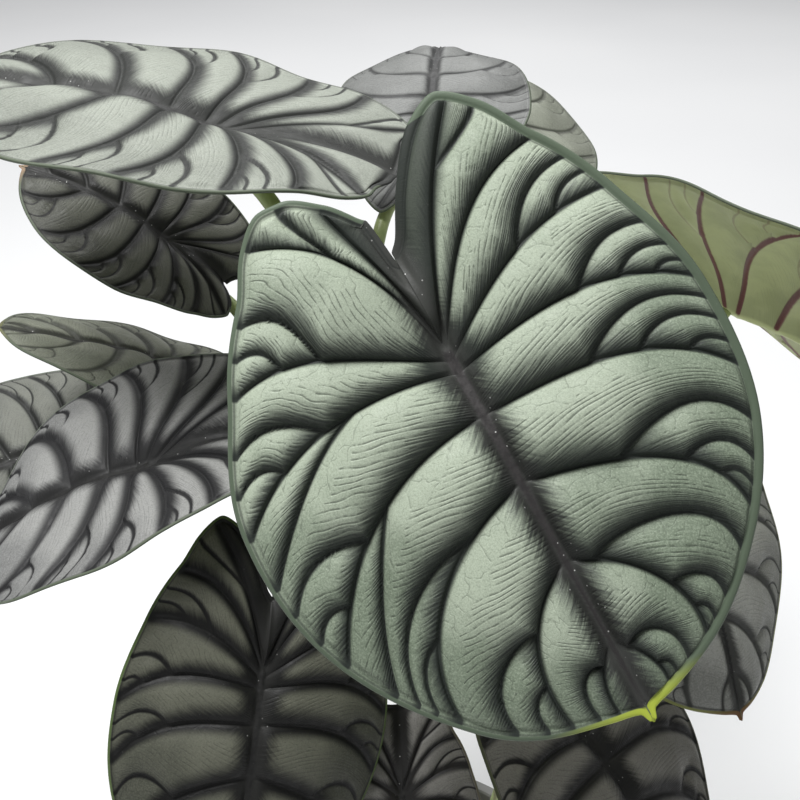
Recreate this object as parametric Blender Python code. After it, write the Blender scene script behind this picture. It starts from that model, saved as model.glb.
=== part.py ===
"""Potted silver dragon alocasia: a round pot of soil with thirteen long-stalked, quilted leaves.

Metres, +Z up. The pot stands on z = 0 round the Z axis and the largest leaf faces -Y.
Each leaf blade is built flat round the point where its petiole joins it, its tip towards -Y and
its upper face towards +Z, then turned to its heading, dip and roll.
"""

import math
from typing import NamedTuple

import bmesh
import bpy
import numpy as np
from mathutils import Euler, Matrix, Vector

for old in list(bpy.data.objects):
    bpy.data.objects.remove(old)

MM = 0.001

# Pot: height, outer radii, wall and rim
POT_HEIGHT = 108 * MM
POT_BASE_RADIUS = 45 * MM
POT_TOP_RADIUS = 59 * MM
POT_WALL = 2.2 * MM
POT_FLOOR = 3.2 * MM
RIM_HEIGHT = 15 * MM
RIM_STEP = 2.6 * MM
POT_SEGMENTS = 44
DRAIN_HOLES = 6
DRAIN_RING = 27 * MM
DRAIN_RADIUS = 4.5 * MM

# Soil: level of its top, lumps, gap to the pot and to the petioles standing in it
SOIL_TOP = 95 * MM
SOIL_LUMP = 1.6 * MM
GAP = 0.3 * MM
STAND_DEPTH = 14 * MM

# Blades: thickness, then shares of the blade's length for the margin band, the quilting, the
# funnel where the petiole arrives, the valley along the midrib and the waves of the margin
BLADE_THICK = 0.8 * MM
RIM_SHARE = 0.023
QUILT = 0.15
QUILT_ROUNDNESS = 0.8
WIDEST_QUILT = 0.26
FUNNEL_DEPTH, FUNNEL_WIDTH, FUNNEL_REACH = 0.040, 0.10, 0.16
VALLEY_DEPTH, VALLEY_WIDTH, VALLEY_FADE = 0.014, 0.05, 0.7
MARGIN_WAVES = 7
WAVE_REACH = 0.6

# Petioles: radii, the knee below the blade, and how far the curve keeps its way at each point
PETIOLE_BASE_RADIUS = 3.6 * MM
PETIOLE_TOP_RADIUS = 2.1 * MM
KNEE_DROP = 9 * MM
KNEE_SLOPE = 0.1
KNEE_RISE = 0.8
KNEE_SHARE = 1.3
FOOT_REACH, KNEE_REACH, TOP_REACH = 0.55, 0.4, 0.35
KNEE_LEAST_REACH = 0.1
HOLE_CLEARANCE = 0.9 * MM


class Leaf(NamedTuple):
    """Pose in millimetres and degrees, and the shape of one blade and its petiole."""

    name: str
    hub: tuple  # where the petiole meets the blade
    heading: float  # way the tip points: 0 is -Y, 90 is +X
    dip: float  # tip below the horizon
    roll: float  # turn about the tip's axis
    length: float  # hub to tip
    foot: tuple  # where the petiole leaves the soil
    bend: float = 12.0  # downward curl from hub to tip
    fold: float = 0.08  # slope of the halves down from the midrib
    cup: float = 0.05  # growing droop of the halves
    width: float = 1.0
    wave: float = 0.012  # height of the margin's waves, as a share of the length
    phase: float = 0.0
    lobe: float = 0.97  # length of the left lobe beside the right one
    belly: float = 0.0  # how much fuller the left half is beside the right one
    inner: float = 0.0  # how far the left lobe's inner edge bulges across the notch
    turned: float = 0.0  # share of the left vein tables that the left half takes
    fill: float = 0.0  # how far the notch between the lobes is filled in
    arch: float = 0.5  # where the petiole's knee is, on the way in to its foot
    bow: tuple = (0, 0, 0)  # shift of that knee, in millimetres


LEAVES = (
    Leaf("front", (3, -60, 402), 48, 49, 40, 104, (5, -14), bend=2, fold=0.0, cup=0.0, wave=0.004,
         lobe=0.91, belly=0.045, inner=0.115, turned=1),
    Leaf("top_left", (-68, 38, 438), -98, -10.5, -4, 95, (-18, 4), bend=10, fold=0.0, cup=0.03,
         phase=1.0, lobe=1.13, fill=0.95, arch=0.5, bow=(-9, 0, 0)),
    Leaf("mid_left", (-102, 99, 374), -90, -36, -26, 62, (-27, 14), bend=26, fold=0.0, cup=0.0,
         width=0.94, phase=2.1, lobe=1.2, fill=0.5, arch=0.3, bow=(8, 16, -11)),
    Leaf("left_small", (-100, 85, 325), -70, -24, 4, 72, (-38, 6), bend=4, width=0.9, phase=0.4,
         arch=0.6),
    Leaf("low_left", (-95, -9, 338), -90, 23, -12, 78, (-30, -6), bend=22, fold=-0.06, cup=-0.03,
         width=0.95, phase=1.7, lobe=1.12, fill=0.7, arch=0.7, bow=(0, 14, 14)),
    Leaf("far_left", (-144, 71, 295), -64, 5, -20, 75, (-40, 18), bend=18, phase=2.6, arch=0.72,
         bow=(0, 22, 3)),
    Leaf("front_left_low", (-52, -57, 287), -14, 58, -28, 88, (-19, -20), bend=18, fold=0.2, cup=0.1,
         width=0.79, phase=0.9, arch=0.3),
    Leaf("front_mid_low", (-9, -57, 232), 4, 60, 0, 54, (-3, -30), bend=8, width=0.8, phase=3.0,
         fill=0.8, arch=0.3),
    Leaf("front_right_low", (52, -49, 260), 40, 38, -14, 82, (22, -26), bend=20, fold=0.04, cup=0.02,
         phase=1.3, arch=0.3),
    Leaf("right_low", (86, -9, 326), 22, 54, -9, 76, (34, -2), bend=4, fold=0.18, cup=0.18, phase=2.2,
         bow=(0, 12, 0)),
    Leaf("right_high", (100, 19, 383), 54, 20, -40, 101, (35, 13), bend=4, fold=-0.12, cup=-0.03,
         width=1.04, phase=0.2, bow=(0, 8, 0)),
    Leaf("back_centre", (2, 125, 415), 176, -25, -3, 80, (-24, 28), bend=36, fold=0.1, cup=0.1,
         width=0.8, phase=1.9, arch=0.38, bow=(-10, 0, -12)),
    Leaf("back_right", (32, 160, 388), 168, -19, 10, 74, (8, 26), bend=10, fold=0.12, cup=0.12,
         phase=2.9, arch=0.4),
)

# Blade outline: radius about the hub, in hub-to-tip lengths, at angles from the tip's way
OUTLINE = ((0, 1.03), (0.4, 1.02), (1.2, 0.99), (5, 0.974), (15, 0.935), (30, 0.856), (50, 0.765),
           (78, 0.646), (108, 0.577), (131, 0.586), (146, 0.632), (154, 0.648), (161, 0.585),
           (169, 0.435), (176, 0.325), (180, 0.30))

# Lateral veins, numbered from the notch to the tip: where each leaves the midrib (share of the
# length), the way it leaves, and the angle and way at which it reaches the margin
VEIN_NOTCH, VEIN_LAST = 0, 10
VEIN_START = ((0, -0.277), (1, -0.04), (2, -0.015), (3, 0.01), (4, 0.045), (5, 0.165), (6, 0.35),
              (7, 0.57), (8, 0.80), (9, 0.955), (10, 1.012))
VEIN_LEAVES = ((0, 170), (1, 158), (2, 150), (3, 128), (4, 104), (5, 92), (6, 80), (7, 72), (8, 58),
               (9, 60), (10, 70))
VEIN_ENDS = ((0, 159), (1, 152), (2, 131), (3, 109), (4, 80), (5, 60), (6, 35), (7, 14), (8, 5),
             (9, 1.2), (10, 0.4))
VEIN_ARRIVES = ((0, 140), (1, 138), (2, 92), (3, 82), (4, 50), (5, 35), (6, 0), (7, -14), (8, -8),
                (9, 20), (10, 60))

# The same for the largest leaf's left half, whose rib keeps close to the notch
LEFT_LEAVES = ((0, 176), (1, 172), (2, 173), (3, 118), (4, 108), (5, 92), (6, 80), (7, 72), (8, 58),
               (9, 60), (10, 70))
LEFT_ENDS = ((0, 173), (1, 169), (2, 146), (3, 108), (4, 77), (5, 48), (6, 28), (7, 11), (8, 4),
             (9, 1.2), (10, 0.4))
LEFT_ARRIVES = ((0, 165), (1, 165), (2, 105), (3, 72), (4, 45), (5, 25), (6, -5), (7, -14), (8, -8),
                (9, 20), (10, 60))

VEIN_OUT, VEIN_IN = 0.40, 0.35  # how far a vein keeps its way from the midrib and to the margin
FILLED_NOTCH = 0.66  # radius at the notch of a blade whose lobes have grown together
NOTCH_FAN = 2.5  # degrees that the margin points fan out by at the lobe's corner


def smooth_through(knots):
    """A smooth curve through (x, y) knots that doesn't overshoot them."""
    xs, ys = np.array(knots, float).T
    steps = np.diff(xs)
    slopes = np.diff(ys) / steps
    pair = slopes[1:] * slopes[:-1]
    total = slopes[1:] + slopes[:-1]
    inner = np.where(pair > 0, 2 * pair / np.where(pair > 0, total, 1.0), 0.0)
    tangents = np.concatenate([slopes[:1], inner, slopes[-1:]])

    def value(x):
        x = np.clip(x, xs[0], xs[-1])
        i = np.clip(np.searchsorted(xs, x, side="right") - 1, 0, len(steps) - 1)
        t = (x - xs[i]) / steps[i]
        rise = t * t * (3 - 2 * t)
        lead = t * (1 - t) ** 2 * tangents[i]
        trail = t * t * (1 - t) * tangents[i + 1]
        return ys[i] * (1 - rise) + ys[i + 1] * rise + steps[i] * (lead - trail)

    return value


radius_at = smooth_through(OUTLINE)
start_of = smooth_through(VEIN_START)
leaves_at = smooth_through(VEIN_LEAVES), smooth_through(LEFT_LEAVES)
ends_at = smooth_through(VEIN_ENDS), smooth_through(LEFT_ENDS)
arrives_at = smooth_through(VEIN_ARRIVES), smooth_through(LEFT_ARRIVES)


def smooth_step(low, high, x):
    t = np.clip((x - low) / (high - low), 0, 1)
    return t * t * (3 - 2 * t)


def between(tables, row, turned):
    """A vein's angle from the common table and the left one, in shares."""
    common, left = tables
    return common(row) * (1 - turned) + left(row) * turned


def heading_of(angle):
    """Unit vectors (to the side, towards the tip) at angles from the tip's way."""
    turn = np.radians(angle)
    return np.stack([np.sin(turn), np.cos(turn)], -1)


def margin(angle, form):
    """Point of the outline and its outward normal, in hub-to-tip lengths, on the right side."""
    lobe, belly, fill, inner, _ = form

    def point(a):
        size = radius_at(a) * (1 + (lobe - 1) * smooth_step(80, 140, a))
        size = size * (1 + belly * smooth_step(2, 25, a) * (1 - smooth_step(70, 110, a)))
        size = size + inner * smooth_step(154, 175, a) * (1 - smooth_step(177.5, 180, a))
        size = size + fill * (FILLED_NOTCH - size) * smooth_step(150, 166, a)
        return size[..., None] * heading_of(a)

    angle = np.asarray(angle, float)
    ahead = point(np.minimum(angle + 0.5, 180)) - point(np.maximum(angle - 0.5, 0))
    normal = np.stack([-ahead[..., 1], ahead[..., 0]], -1)
    return point(angle), normal / np.linalg.norm(normal, axis=-1, keepdims=True)


def half_blade(u, v, form):
    """(side, towards tip) of grid points on the right half, in hub-to-tip lengths.

    u counts the lateral veins from the notch's edge (0) to the tip, v runs from the midrib (0)
    to the margin band (1). u from 0 to -1 and v from 1 to 2 cross that band.
    """
    row = np.maximum(u, 0)
    along = np.clip(v, 0, 1)
    across = np.clip(np.maximum(-u, v - 1), 0, 1)
    fan = NOTCH_FAN * (np.where(u < 0, along**6, 0) - np.where(v > 1, np.exp(-3 * row), 0))

    turned = form[-1]
    end_angle = between(ends_at, row, turned)
    end, normal = margin(end_angle, form)
    inner = end - RIM_SHARE * normal
    start = np.stack([np.zeros_like(row), start_of(row)], -1)
    reach = np.linalg.norm(inner - start, axis=-1)[..., None]
    first = start + VEIN_OUT * reach * heading_of(between(leaves_at, row, turned))
    second = inner - VEIN_IN * reach * heading_of(between(arrives_at, row, turned))
    t = along[..., None]
    vein = (start * (1 - t) ** 3 + 3 * first * t * (1 - t) ** 2
            + 3 * second * t * t * (1 - t) + inner * t**3)

    notch_angle = 180 + (between(ends_at, 0.0, turned) - 180) * along
    notch_end, notch_normal = margin(notch_angle, form)
    notch = notch_end - RIM_SHARE * notch_normal
    share = smooth_step(0, 1, row)[..., None]
    point = notch * (1 - share) + vein * share

    outer_angle = np.where(u < 0, notch_angle, end_angle) + fan
    outer, _ = margin(np.clip(outer_angle, 0, 180), form)
    across = across[..., None]
    return point * (1 - across) + outer * across


def quilt_height(u, v, form):
    """Pillow height over the panels between the lateral veins, in hub-to-tip lengths."""
    low = np.clip(np.floor(u), VEIN_NOTCH, VEIN_LAST - 1)
    part = np.clip(u - low, 0, 1)
    along = np.clip(v, 0, 1)
    width = half_blade(low + 1, along, form) - half_blade(low, along, form)
    width = np.linalg.norm(width, axis=-1)
    pillow = (4 * part * (1 - part)) ** QUILT_ROUNDNESS * np.sqrt(1 - along**8)
    return QUILT * np.minimum(width, WIDEST_QUILT) * pillow


def blade_point(leaf, u, v):
    """Points of a blade's upper face, in metres: v below 0 is the left half."""
    left = v < 0
    side = np.where(left, -1.0, 1.0)
    form = (np.where(left, leaf.lobe, 1.0), np.where(left, leaf.belly, 0.0), leaf.fill,
            np.where(left, leaf.inner, 0.0), np.where(left, leaf.turned, 0.0))
    flat = half_blade(u, np.abs(v), form)
    x = side * flat[..., 0]
    y = flat[..., 1]
    height = quilt_height(u, np.abs(v), form)
    height = height * (u >= 0) * (np.abs(v) <= 1)
    funnel = np.where(y < 0, 1.0, np.exp(-((y / FUNNEL_REACH) ** 2)))
    height = height - FUNNEL_DEPTH * funnel * np.exp(-((x / FUNNEL_WIDTH) ** 2))
    valley = VALLEY_DEPTH * (1 - VALLEY_FADE * np.clip(y, 0, 1))
    height = height - valley * np.exp(-((x / VALLEY_WIDTH) ** 2))
    out_there = np.clip(np.hypot(x, y) / WAVE_REACH, 0, 1) ** 3
    turn = np.arctan2(x, y)
    height = height + leaf.wave * out_there * np.sin(MARGIN_WAVES * turn + 2 * leaf.phase + 3 * side)
    size = leaf.length * MM
    x = x * size * leaf.width
    y = y * size
    height = height * size - leaf.fold * np.abs(x) - leaf.cup * x * x / size
    curl = math.radians(leaf.bend) / size
    y_curled = np.sin(curl * y) / curl + height * np.sin(curl * y)
    z_curled = (np.cos(curl * y) - 1) / curl + height * np.cos(curl * y)
    return np.stack([x, -y_curled, z_curled], -1)


def leaf_matrix(leaf):
    turn = Euler((math.radians(leaf.dip), math.radians(-leaf.roll), math.radians(leaf.heading)), "YXZ")
    return Matrix.Translation(Vector(leaf.hub) * MM) @ turn.to_matrix().to_4x4()


def material(name, colour, roughness, metallic=0.0):
    made = bpy.data.materials.new(name)
    made.use_nodes = True
    shader = made.node_tree.nodes["Principled BSDF"]
    shader.inputs["Base Color"].default_value = (*colour, 1)
    shader.inputs["Roughness"].default_value = roughness
    shader.inputs["Metallic"].default_value = metallic
    return made


def add_object(name, data, finish):
    made = bpy.data.objects.new(name, data)
    bpy.context.scene.collection.objects.link(made)
    if made.type == "MESH":
        data.shade_smooth()
        data.set_sharp_from_angle(angle=math.radians(40))
    data.materials.append(finish)
    return made


def grid_rows(fine):
    """u values of a blade's rows: the band at the notch, the veins and the crests between them."""
    crests = (1 / 3, 2 / 3) if fine else (0.5,)
    rows = [-1.0]
    for vein in range(VEIN_NOTCH, 8):
        rows.append(vein)
        rows.extend(vein + crest for crest in crests)
    return rows + [8, 9, VEIN_LAST]


def grid_columns(fine):
    half = (0.15, 0.35, 0.58, 0.8, 1, 2) if fine else (0.3, 0.66, 1, 2)
    return [-v for v in reversed(half)] + [0] + list(half)


def make_blade(leaf, finish):
    """A grid of vein rows and columns moved to the blade's form and thickened."""
    fine = leaf.name == "front"
    rows = grid_rows(fine)
    columns = grid_columns(fine)
    built = bmesh.new()
    bmesh.ops.create_grid(built, x_segments=len(columns) - 1, y_segments=len(rows) - 1, size=1)
    order = sorted(built.verts, key=lambda vert: (round(vert.co.y, 5), round(vert.co.x, 5)))
    u, v = np.meshgrid(np.array(rows, float), np.array(columns, float), indexing="ij")
    for vert, point in zip(order, blade_point(leaf, u, v).reshape(-1, 3)):
        vert.co = point
    bmesh.ops.triangulate(built, faces=built.faces[:], quad_method="SHORT_EDGE")
    bmesh.ops.recalc_face_normals(built, faces=built.faces[:])
    if sum(face.normal.z for face in built.faces) < 0:
        bmesh.ops.reverse_faces(built, faces=built.faces[:])
    data = bpy.data.meshes.new("leaf_" + leaf.name)
    built.to_mesh(data)
    built.free()
    blade = add_object("leaf_" + leaf.name, data, finish)
    blade.matrix_world = leaf_matrix(leaf)
    shell = blade.modifiers.new("thickness", "SOLIDIFY")
    shell.thickness = BLADE_THICK
    shell.offset = -1
    return blade


def petiole_route(leaf):
    """Foot, knee and top of a petiole, and its way at the knee: it rises, then arches over."""
    place = leaf_matrix(leaf)
    under = blade_point(leaf, np.array([3.0]), np.array([0.0]))[0]
    top = place @ Vector((0, 0, float(under[2]) - BLADE_THICK - GAP))
    foot = Vector((leaf.foot[0] * MM, leaf.foot[1] * MM, SOIL_TOP - STAND_DEPTH))
    inward = Vector((foot.x - top.x, foot.y - top.y, 0))
    drop = Vector((0, 0, KNEE_DROP + KNEE_SLOPE * inward.length))
    knee = top + inward * leaf.arch + Vector(leaf.bow) * MM - drop
    way = (Vector((0, 0, 1)) * KNEE_RISE - inward / max(inward.length, MM)).normalized()
    return foot, knee, top, way


def make_petiole(leaf, finish):
    foot, knee, top, way = petiole_route(leaf)
    normal = leaf_matrix(leaf).to_3x3() @ Vector((0, 0, 1))
    height = knee.z - foot.z
    last = (top - knee).length
    data = bpy.data.curves.new("petiole_" + leaf.name, "CURVE")
    data.dimensions = "3D"
    data.bevel_depth = PETIOLE_TOP_RADIUS
    data.bevel_resolution = 2
    data.resolution_u = 7
    data.use_fill_caps = True
    spline = data.splines.new("BEZIER")
    spline.bezier_points.add(2)
    points = (
        (foot, Vector((0, 0, 1)), FOOT_REACH * height, PETIOLE_BASE_RADIUS / PETIOLE_TOP_RADIUS),
        (knee, way, KNEE_REACH * last, KNEE_SHARE),
        (top, normal, TOP_REACH * last, 1.0),
    )
    for point, (place, tangent, reach, share) in zip(spline.bezier_points, points):
        back = reach
        if place is knee:
            back = max((knee.xy - foot.xy).length, KNEE_LEAST_REACH * height)
        point.co = place
        point.handle_left = place - tangent * back
        point.handle_right = place + tangent * reach
        point.radius = share
    return add_object("petiole_" + leaf.name, data, finish)


def lathe(name, profile, segments):
    """A solid turned about Z from a closed (radius, height) profile that starts and ends on it."""
    built = bmesh.new()
    verts = [built.verts.new((radius, 0, height)) for radius, height in profile]
    edges = [built.edges.new(pair) for pair in zip(verts[:-1], verts[1:])]
    bmesh.ops.spin(built, geom=verts + edges, axis=(0, 0, 1), cent=(0, 0, 0), dvec=(0, 0, 0),
                   angle=2 * math.pi, steps=segments, use_merge=True, use_normal_flip=False)
    bmesh.ops.remove_doubles(built, verts=built.verts[:], dist=0.01 * MM)
    bmesh.ops.recalc_face_normals(built, faces=built.faces[:])
    data = bpy.data.meshes.new(name)
    built.to_mesh(data)
    built.free()
    return data


def cutter(name, places, radius, bottom, top, sides):
    """Upright cylinders in one hidden object, to be cut out of a solid."""
    built = bmesh.new()
    for x, y in places:
        place = Matrix.Translation((x, y, (bottom + top) / 2))
        bmesh.ops.create_cone(built, cap_ends=True, segments=sides, radius1=radius, radius2=radius,
                              depth=top - bottom, matrix=place)
    data = bpy.data.meshes.new(name)
    built.to_mesh(data)
    built.free()
    made = bpy.data.objects.new(name, data)
    bpy.context.scene.collection.objects.link(made)
    made.hide_render = True
    made.display_type = "WIRE"
    return made


def cut(target, tool):
    bite = target.modifiers.new(tool.name, "BOOLEAN")
    bite.operation = "DIFFERENCE"
    bite.object = tool


def make_pot(finish):
    rim_low = POT_HEIGHT - RIM_HEIGHT
    rim_radius = POT_TOP_RADIUS + RIM_STEP
    inner_top = POT_TOP_RADIUS - POT_WALL
    inner_base = POT_BASE_RADIUS - POT_WALL
    edge = 0.8 * MM
    profile = (
        (0, 0),
        (POT_BASE_RADIUS - edge, 0),
        (POT_BASE_RADIUS, edge),
        (POT_TOP_RADIUS - 0.4 * MM, rim_low),
        (rim_radius - edge, rim_low + 0.4 * MM),
        (rim_radius, rim_low + 2 * edge),
        (rim_radius + 0.6 * MM, POT_HEIGHT - edge),
        (rim_radius, POT_HEIGHT),
        (inner_top + edge, POT_HEIGHT),
        (inner_top, POT_HEIGHT - edge),
        (inner_base, POT_FLOOR),
        (0, POT_FLOOR),
    )
    pot = add_object("pot", lathe("pot", profile, POT_SEGMENTS), finish)
    turns = [2 * math.pi * hole / DRAIN_HOLES for hole in range(DRAIN_HOLES)]
    places = [(DRAIN_RING * math.cos(turn), DRAIN_RING * math.sin(turn)) for turn in turns]
    cut(pot, cutter("drain_cutter", places, DRAIN_RADIUS, -2 * MM, POT_FLOOR + 2 * MM, 14))
    return pot


def inner_radius(height):
    """Radius of the pot's inner wall at a height."""
    low, high = POT_FLOOR, POT_HEIGHT - 0.8 * MM
    share = (height - low) / (high - low)
    return POT_BASE_RADIUS - POT_WALL + share * (POT_TOP_RADIUS - POT_BASE_RADIUS)


def make_soil(finish):
    """The root ball: it fills the pot, with a lumpy top and a plain hole for each petiole."""
    bottom = POT_FLOOR + GAP
    rings = (1.0, 0.82, 0.62, 0.42, 0.22)
    edge_radius = inner_radius(SOIL_TOP) - GAP
    profile = [(0, bottom), (inner_radius(bottom) - 2 * GAP, bottom)]
    profile += [(edge_radius * ring, SOIL_TOP) for ring in rings]
    profile.append((0, SOIL_TOP))
    data = lathe("soil", profile, POT_SEGMENTS)
    for vert in data.vertices:
        x, y, z = vert.co
        if z > SOIL_TOP - MM and math.hypot(x, y) < edge_radius - MM:
            lump = math.sin(x / MM * 0.31 + 1.1) * math.cos(y / MM * 0.27) + math.sin((x - y) / MM * 0.19)
            vert.co.z += SOIL_LUMP * lump * 0.5
    soil = add_object("soil", data, finish)
    for leaf in LEAVES:
        place = [(leaf.foot[0] * MM, leaf.foot[1] * MM)]
        hole = cutter("hole_" + leaf.name, place, PETIOLE_BASE_RADIUS + HOLE_CLEARANCE,
                      SOIL_TOP - STAND_DEPTH - GAP, SOIL_TOP + 12 * MM, 10)
        cut(soil, hole)
    return soil


def build():
    blade_finish = material("silver_green_blade", (0.33, 0.40, 0.33), 0.45)
    petiole_finish = material("olive_petiole", (0.36, 0.42, 0.16), 0.4)
    soil_finish = material("dark_soil", (0.045, 0.03, 0.02), 0.95)
    pot_finish = material("grey_pot", (0.30, 0.30, 0.29), 0.55)
    make_pot(pot_finish)
    make_soil(soil_finish)
    for leaf in LEAVES:
        make_blade(leaf, blade_finish)
        make_petiole(leaf, petiole_finish)


build()
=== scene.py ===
# %% [markdown]
# A potted silver dragon alocasia: thirteen thick, quilted leaves on long stalks in a plain pot.
# This lesson dresses the plant's packed solids with finer blades, stalks, soil and pot, paints
# them with procedural materials, and lights them softly over a pale floor.
# The packed model is loaded as a fixed frame. Its overall box is kept.

# %% Load the frame
import math
from typing import NamedTuple

import bmesh
import bpy
import numpy as np
from mathutils import Euler, Matrix, Vector, noise


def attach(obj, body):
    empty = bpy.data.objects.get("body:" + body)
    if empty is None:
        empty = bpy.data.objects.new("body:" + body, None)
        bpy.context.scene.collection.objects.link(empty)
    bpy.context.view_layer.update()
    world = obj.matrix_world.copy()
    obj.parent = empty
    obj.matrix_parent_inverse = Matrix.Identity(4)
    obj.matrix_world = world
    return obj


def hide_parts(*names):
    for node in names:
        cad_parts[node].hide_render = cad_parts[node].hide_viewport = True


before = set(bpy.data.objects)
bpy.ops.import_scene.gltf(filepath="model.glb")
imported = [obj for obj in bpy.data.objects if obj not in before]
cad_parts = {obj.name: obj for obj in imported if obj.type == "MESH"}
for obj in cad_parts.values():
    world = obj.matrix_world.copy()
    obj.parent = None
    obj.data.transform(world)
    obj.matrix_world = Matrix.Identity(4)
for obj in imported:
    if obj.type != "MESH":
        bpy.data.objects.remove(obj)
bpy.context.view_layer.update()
MM = 0.001

# %% [markdown]
# The camera stands in front of the largest leaf, a little above it, and looks down by thirty
# degrees. The view is fixed first, so that every later piece can be judged in it.

# %% Camera
CAMERA_PLACE = (-0.010, -0.293, 0.524)
CAMERA_DIP = 30
FOCAL_SHARE = 1042 / 800
SENSOR_WIDTH = 36

scene = bpy.context.scene
lens = bpy.data.cameras.new("camera")
lens.sensor_width = SENSOR_WIDTH
lens.lens = SENSOR_WIDTH * FOCAL_SHARE
lens.clip_start = 0.01
camera = bpy.data.objects.new("camera", lens)
camera.matrix_world = Matrix.Translation(CAMERA_PLACE) @ Matrix.Rotation(
    math.pi / 2 - math.radians(CAMERA_DIP), 4, "X")
scene.collection.objects.link(camera)
scene.camera = camera
print("lens, mm:", round(lens.lens, 2))

# %% [markdown]
# Each leaf is described by the pose of its blade: where the stalk meets it, the way its tip
# points, how far it dips and rolls, how long it is and how it curls. These are the numbers that
# the solids were made from, so a finer blade lies exactly where its solid does.

# %% Leaf poses
class Leaf(NamedTuple):
    """Pose in millimetres and degrees, and the shape of one blade and its petiole."""

    name: str
    hub: tuple
    heading: float
    dip: float
    roll: float
    length: float
    foot: tuple
    bend: float = 12.0
    fold: float = 0.08
    cup: float = 0.05
    width: float = 1.0
    wave: float = 0.012
    phase: float = 0.0
    lobe: float = 0.97
    belly: float = 0.0
    inner: float = 0.0
    turned: float = 0.0
    fill: float = 0.0
    arch: float = 0.5
    bow: tuple = (0, 0, 0)


LEAVES = (
    Leaf("front", (3, -60, 402), 48, 49, 40, 104, (5, -14), bend=2, fold=0.0, cup=0.0, wave=0.004,
         lobe=0.91, belly=0.045, inner=0.115, turned=1),
    Leaf("top_left", (-68, 38, 438), -98, -10.5, -4, 95, (-18, 4), bend=10, fold=0.0, cup=0.03,
         phase=1.0, lobe=1.13, fill=0.95, arch=0.5, bow=(-9, 0, 0)),
    Leaf("mid_left", (-102, 99, 374), -90, -36, -26, 62, (-27, 14), bend=26, fold=0.0, cup=0.0,
         width=0.94, phase=2.1, lobe=1.2, fill=0.5, arch=0.3, bow=(8, 16, -11)),
    Leaf("left_small", (-100, 85, 325), -70, -24, 4, 72, (-38, 6), bend=4, width=0.9, phase=0.4,
         arch=0.6),
    Leaf("low_left", (-95, -9, 338), -90, 23, -12, 78, (-30, -6), bend=22, fold=-0.06, cup=-0.03,
         width=0.95, phase=1.7, lobe=1.12, fill=0.7, arch=0.7, bow=(0, 14, 14)),
    Leaf("far_left", (-144, 71, 295), -64, 5, -20, 75, (-40, 18), bend=18, phase=2.6, arch=0.72,
         bow=(0, 22, 3)),
    Leaf("front_left_low", (-52, -57, 287), -14, 58, -28, 88, (-19, -20), bend=18, fold=0.2,
         cup=0.1, width=0.79, phase=0.9, arch=0.3),
    Leaf("front_mid_low", (-9, -57, 232), 4, 60, 0, 54, (-3, -30), bend=8, width=0.8, phase=3.0,
         fill=0.8, arch=0.3),
    Leaf("front_right_low", (52, -49, 260), 40, 38, -14, 82, (22, -26), bend=20, fold=0.04,
         cup=0.02, phase=1.3, arch=0.3),
    Leaf("right_low", (86, -9, 326), 22, 54, -9, 76, (34, -2), bend=4, fold=0.18, cup=0.18,
         phase=2.2, bow=(0, 12, 0)),
    Leaf("right_high", (100, 19, 383), 54, 20, -40, 101, (35, 13), bend=4, fold=-0.12, cup=-0.03,
         width=1.04, phase=0.2, bow=(0, 8, 0)),
    Leaf("back_centre", (2, 125, 415), 176, -25, -3, 80, (-24, 28), bend=36, fold=0.1, cup=0.1,
         width=0.8, phase=1.9, arch=0.38, bow=(-10, 0, -12)),
    Leaf("back_right", (32, 160, 388), 168, -19, 10, 74, (8, 26), bend=10, fold=0.12, cup=0.12,
         phase=2.9, arch=0.4),
)
print(len(LEAVES), "leaves")

# %% [markdown]
# A blade is drawn flat first. Its grid follows the plant's own lines: one direction counts the
# side veins from the notch to the tip, and the other runs along each vein from the midrib to the
# margin. Moving a plain grid by such a rule keeps every vein on an edge of the mesh, which a
# sculpted lump wouldn't do. The vein tables have one value for each row, from the notch's edge
# (0) to the tip (10), and the left half of the large leaf has its own.

# %% Outline and vein tables
OUTLINE = ((0, 1.03), (0.4, 1.02), (1.2, 0.99), (5, 0.974), (15, 0.935), (30, 0.856), (50, 0.765),
           (78, 0.646), (108, 0.577), (131, 0.586), (146, 0.632), (154, 0.648), (161, 0.585),
           (169, 0.435), (176, 0.325), (180, 0.30))
VEIN_START = -0.277, -0.04, -0.015, 0.01, 0.045, 0.165, 0.35, 0.57, 0.80, 0.955, 1.012
VEIN_LEAVES = 170, 158, 150, 128, 104, 92, 80, 72, 58, 60, 70
VEIN_ENDS = 159, 152, 131, 109, 80, 60, 35, 14, 5, 1.2, 0.4
VEIN_ARRIVES = 140, 138, 92, 82, 50, 35, 0, -14, -8, 20, 60
LEFT_LEAVES = 178, 174, 169, 118, 108, 92, 80, 72, 58, 60, 70
LEFT_ENDS = 176.6, 169, 146, 108, 77, 48, 28, 11, 4, 1.2, 0.4
LEFT_ARRIVES = 170, 165, 105, 72, 45, 25, -5, -14, -8, 20, 60
VEIN_OUT, VEIN_IN = 0.40, 0.35
VEIN_LAST = 10
RIM_SHARE, OFF_MIDDLE = 0.023, 0.0003
FUNNEL_DEPTH, FUNNEL_WIDTH, FUNNEL_REACH = 0.040, 0.10, 0.16
VALLEY_DEPTH, VALLEY_WIDTH, VALLEY_FADE = 0.014, 0.05, 0.7
FILLED_NOTCH = 0.66
LOBE_SPAN, BELLY_RISE, BELLY_FALL = (80, 140), (2, 25), (70, 110)
INNER_RISE, INNER_FALL, FILL_SPAN = (154, 175), (177.5, 180), (150, 166)
NOTCH_FAN, LEFT_FAN, FAN_POWER, FAN_DECAY = 2.5, 0.5, 6, 3
NOTCH_PACE, SINUS_REACH, RIM_BLEND = 1.6, 0.12, 0.6
TIP_END, TIP_HALF, TIP_ROUND = 1.02, 0.0045, 0.004
BLADE_THICK = 0.8 * MM


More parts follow.
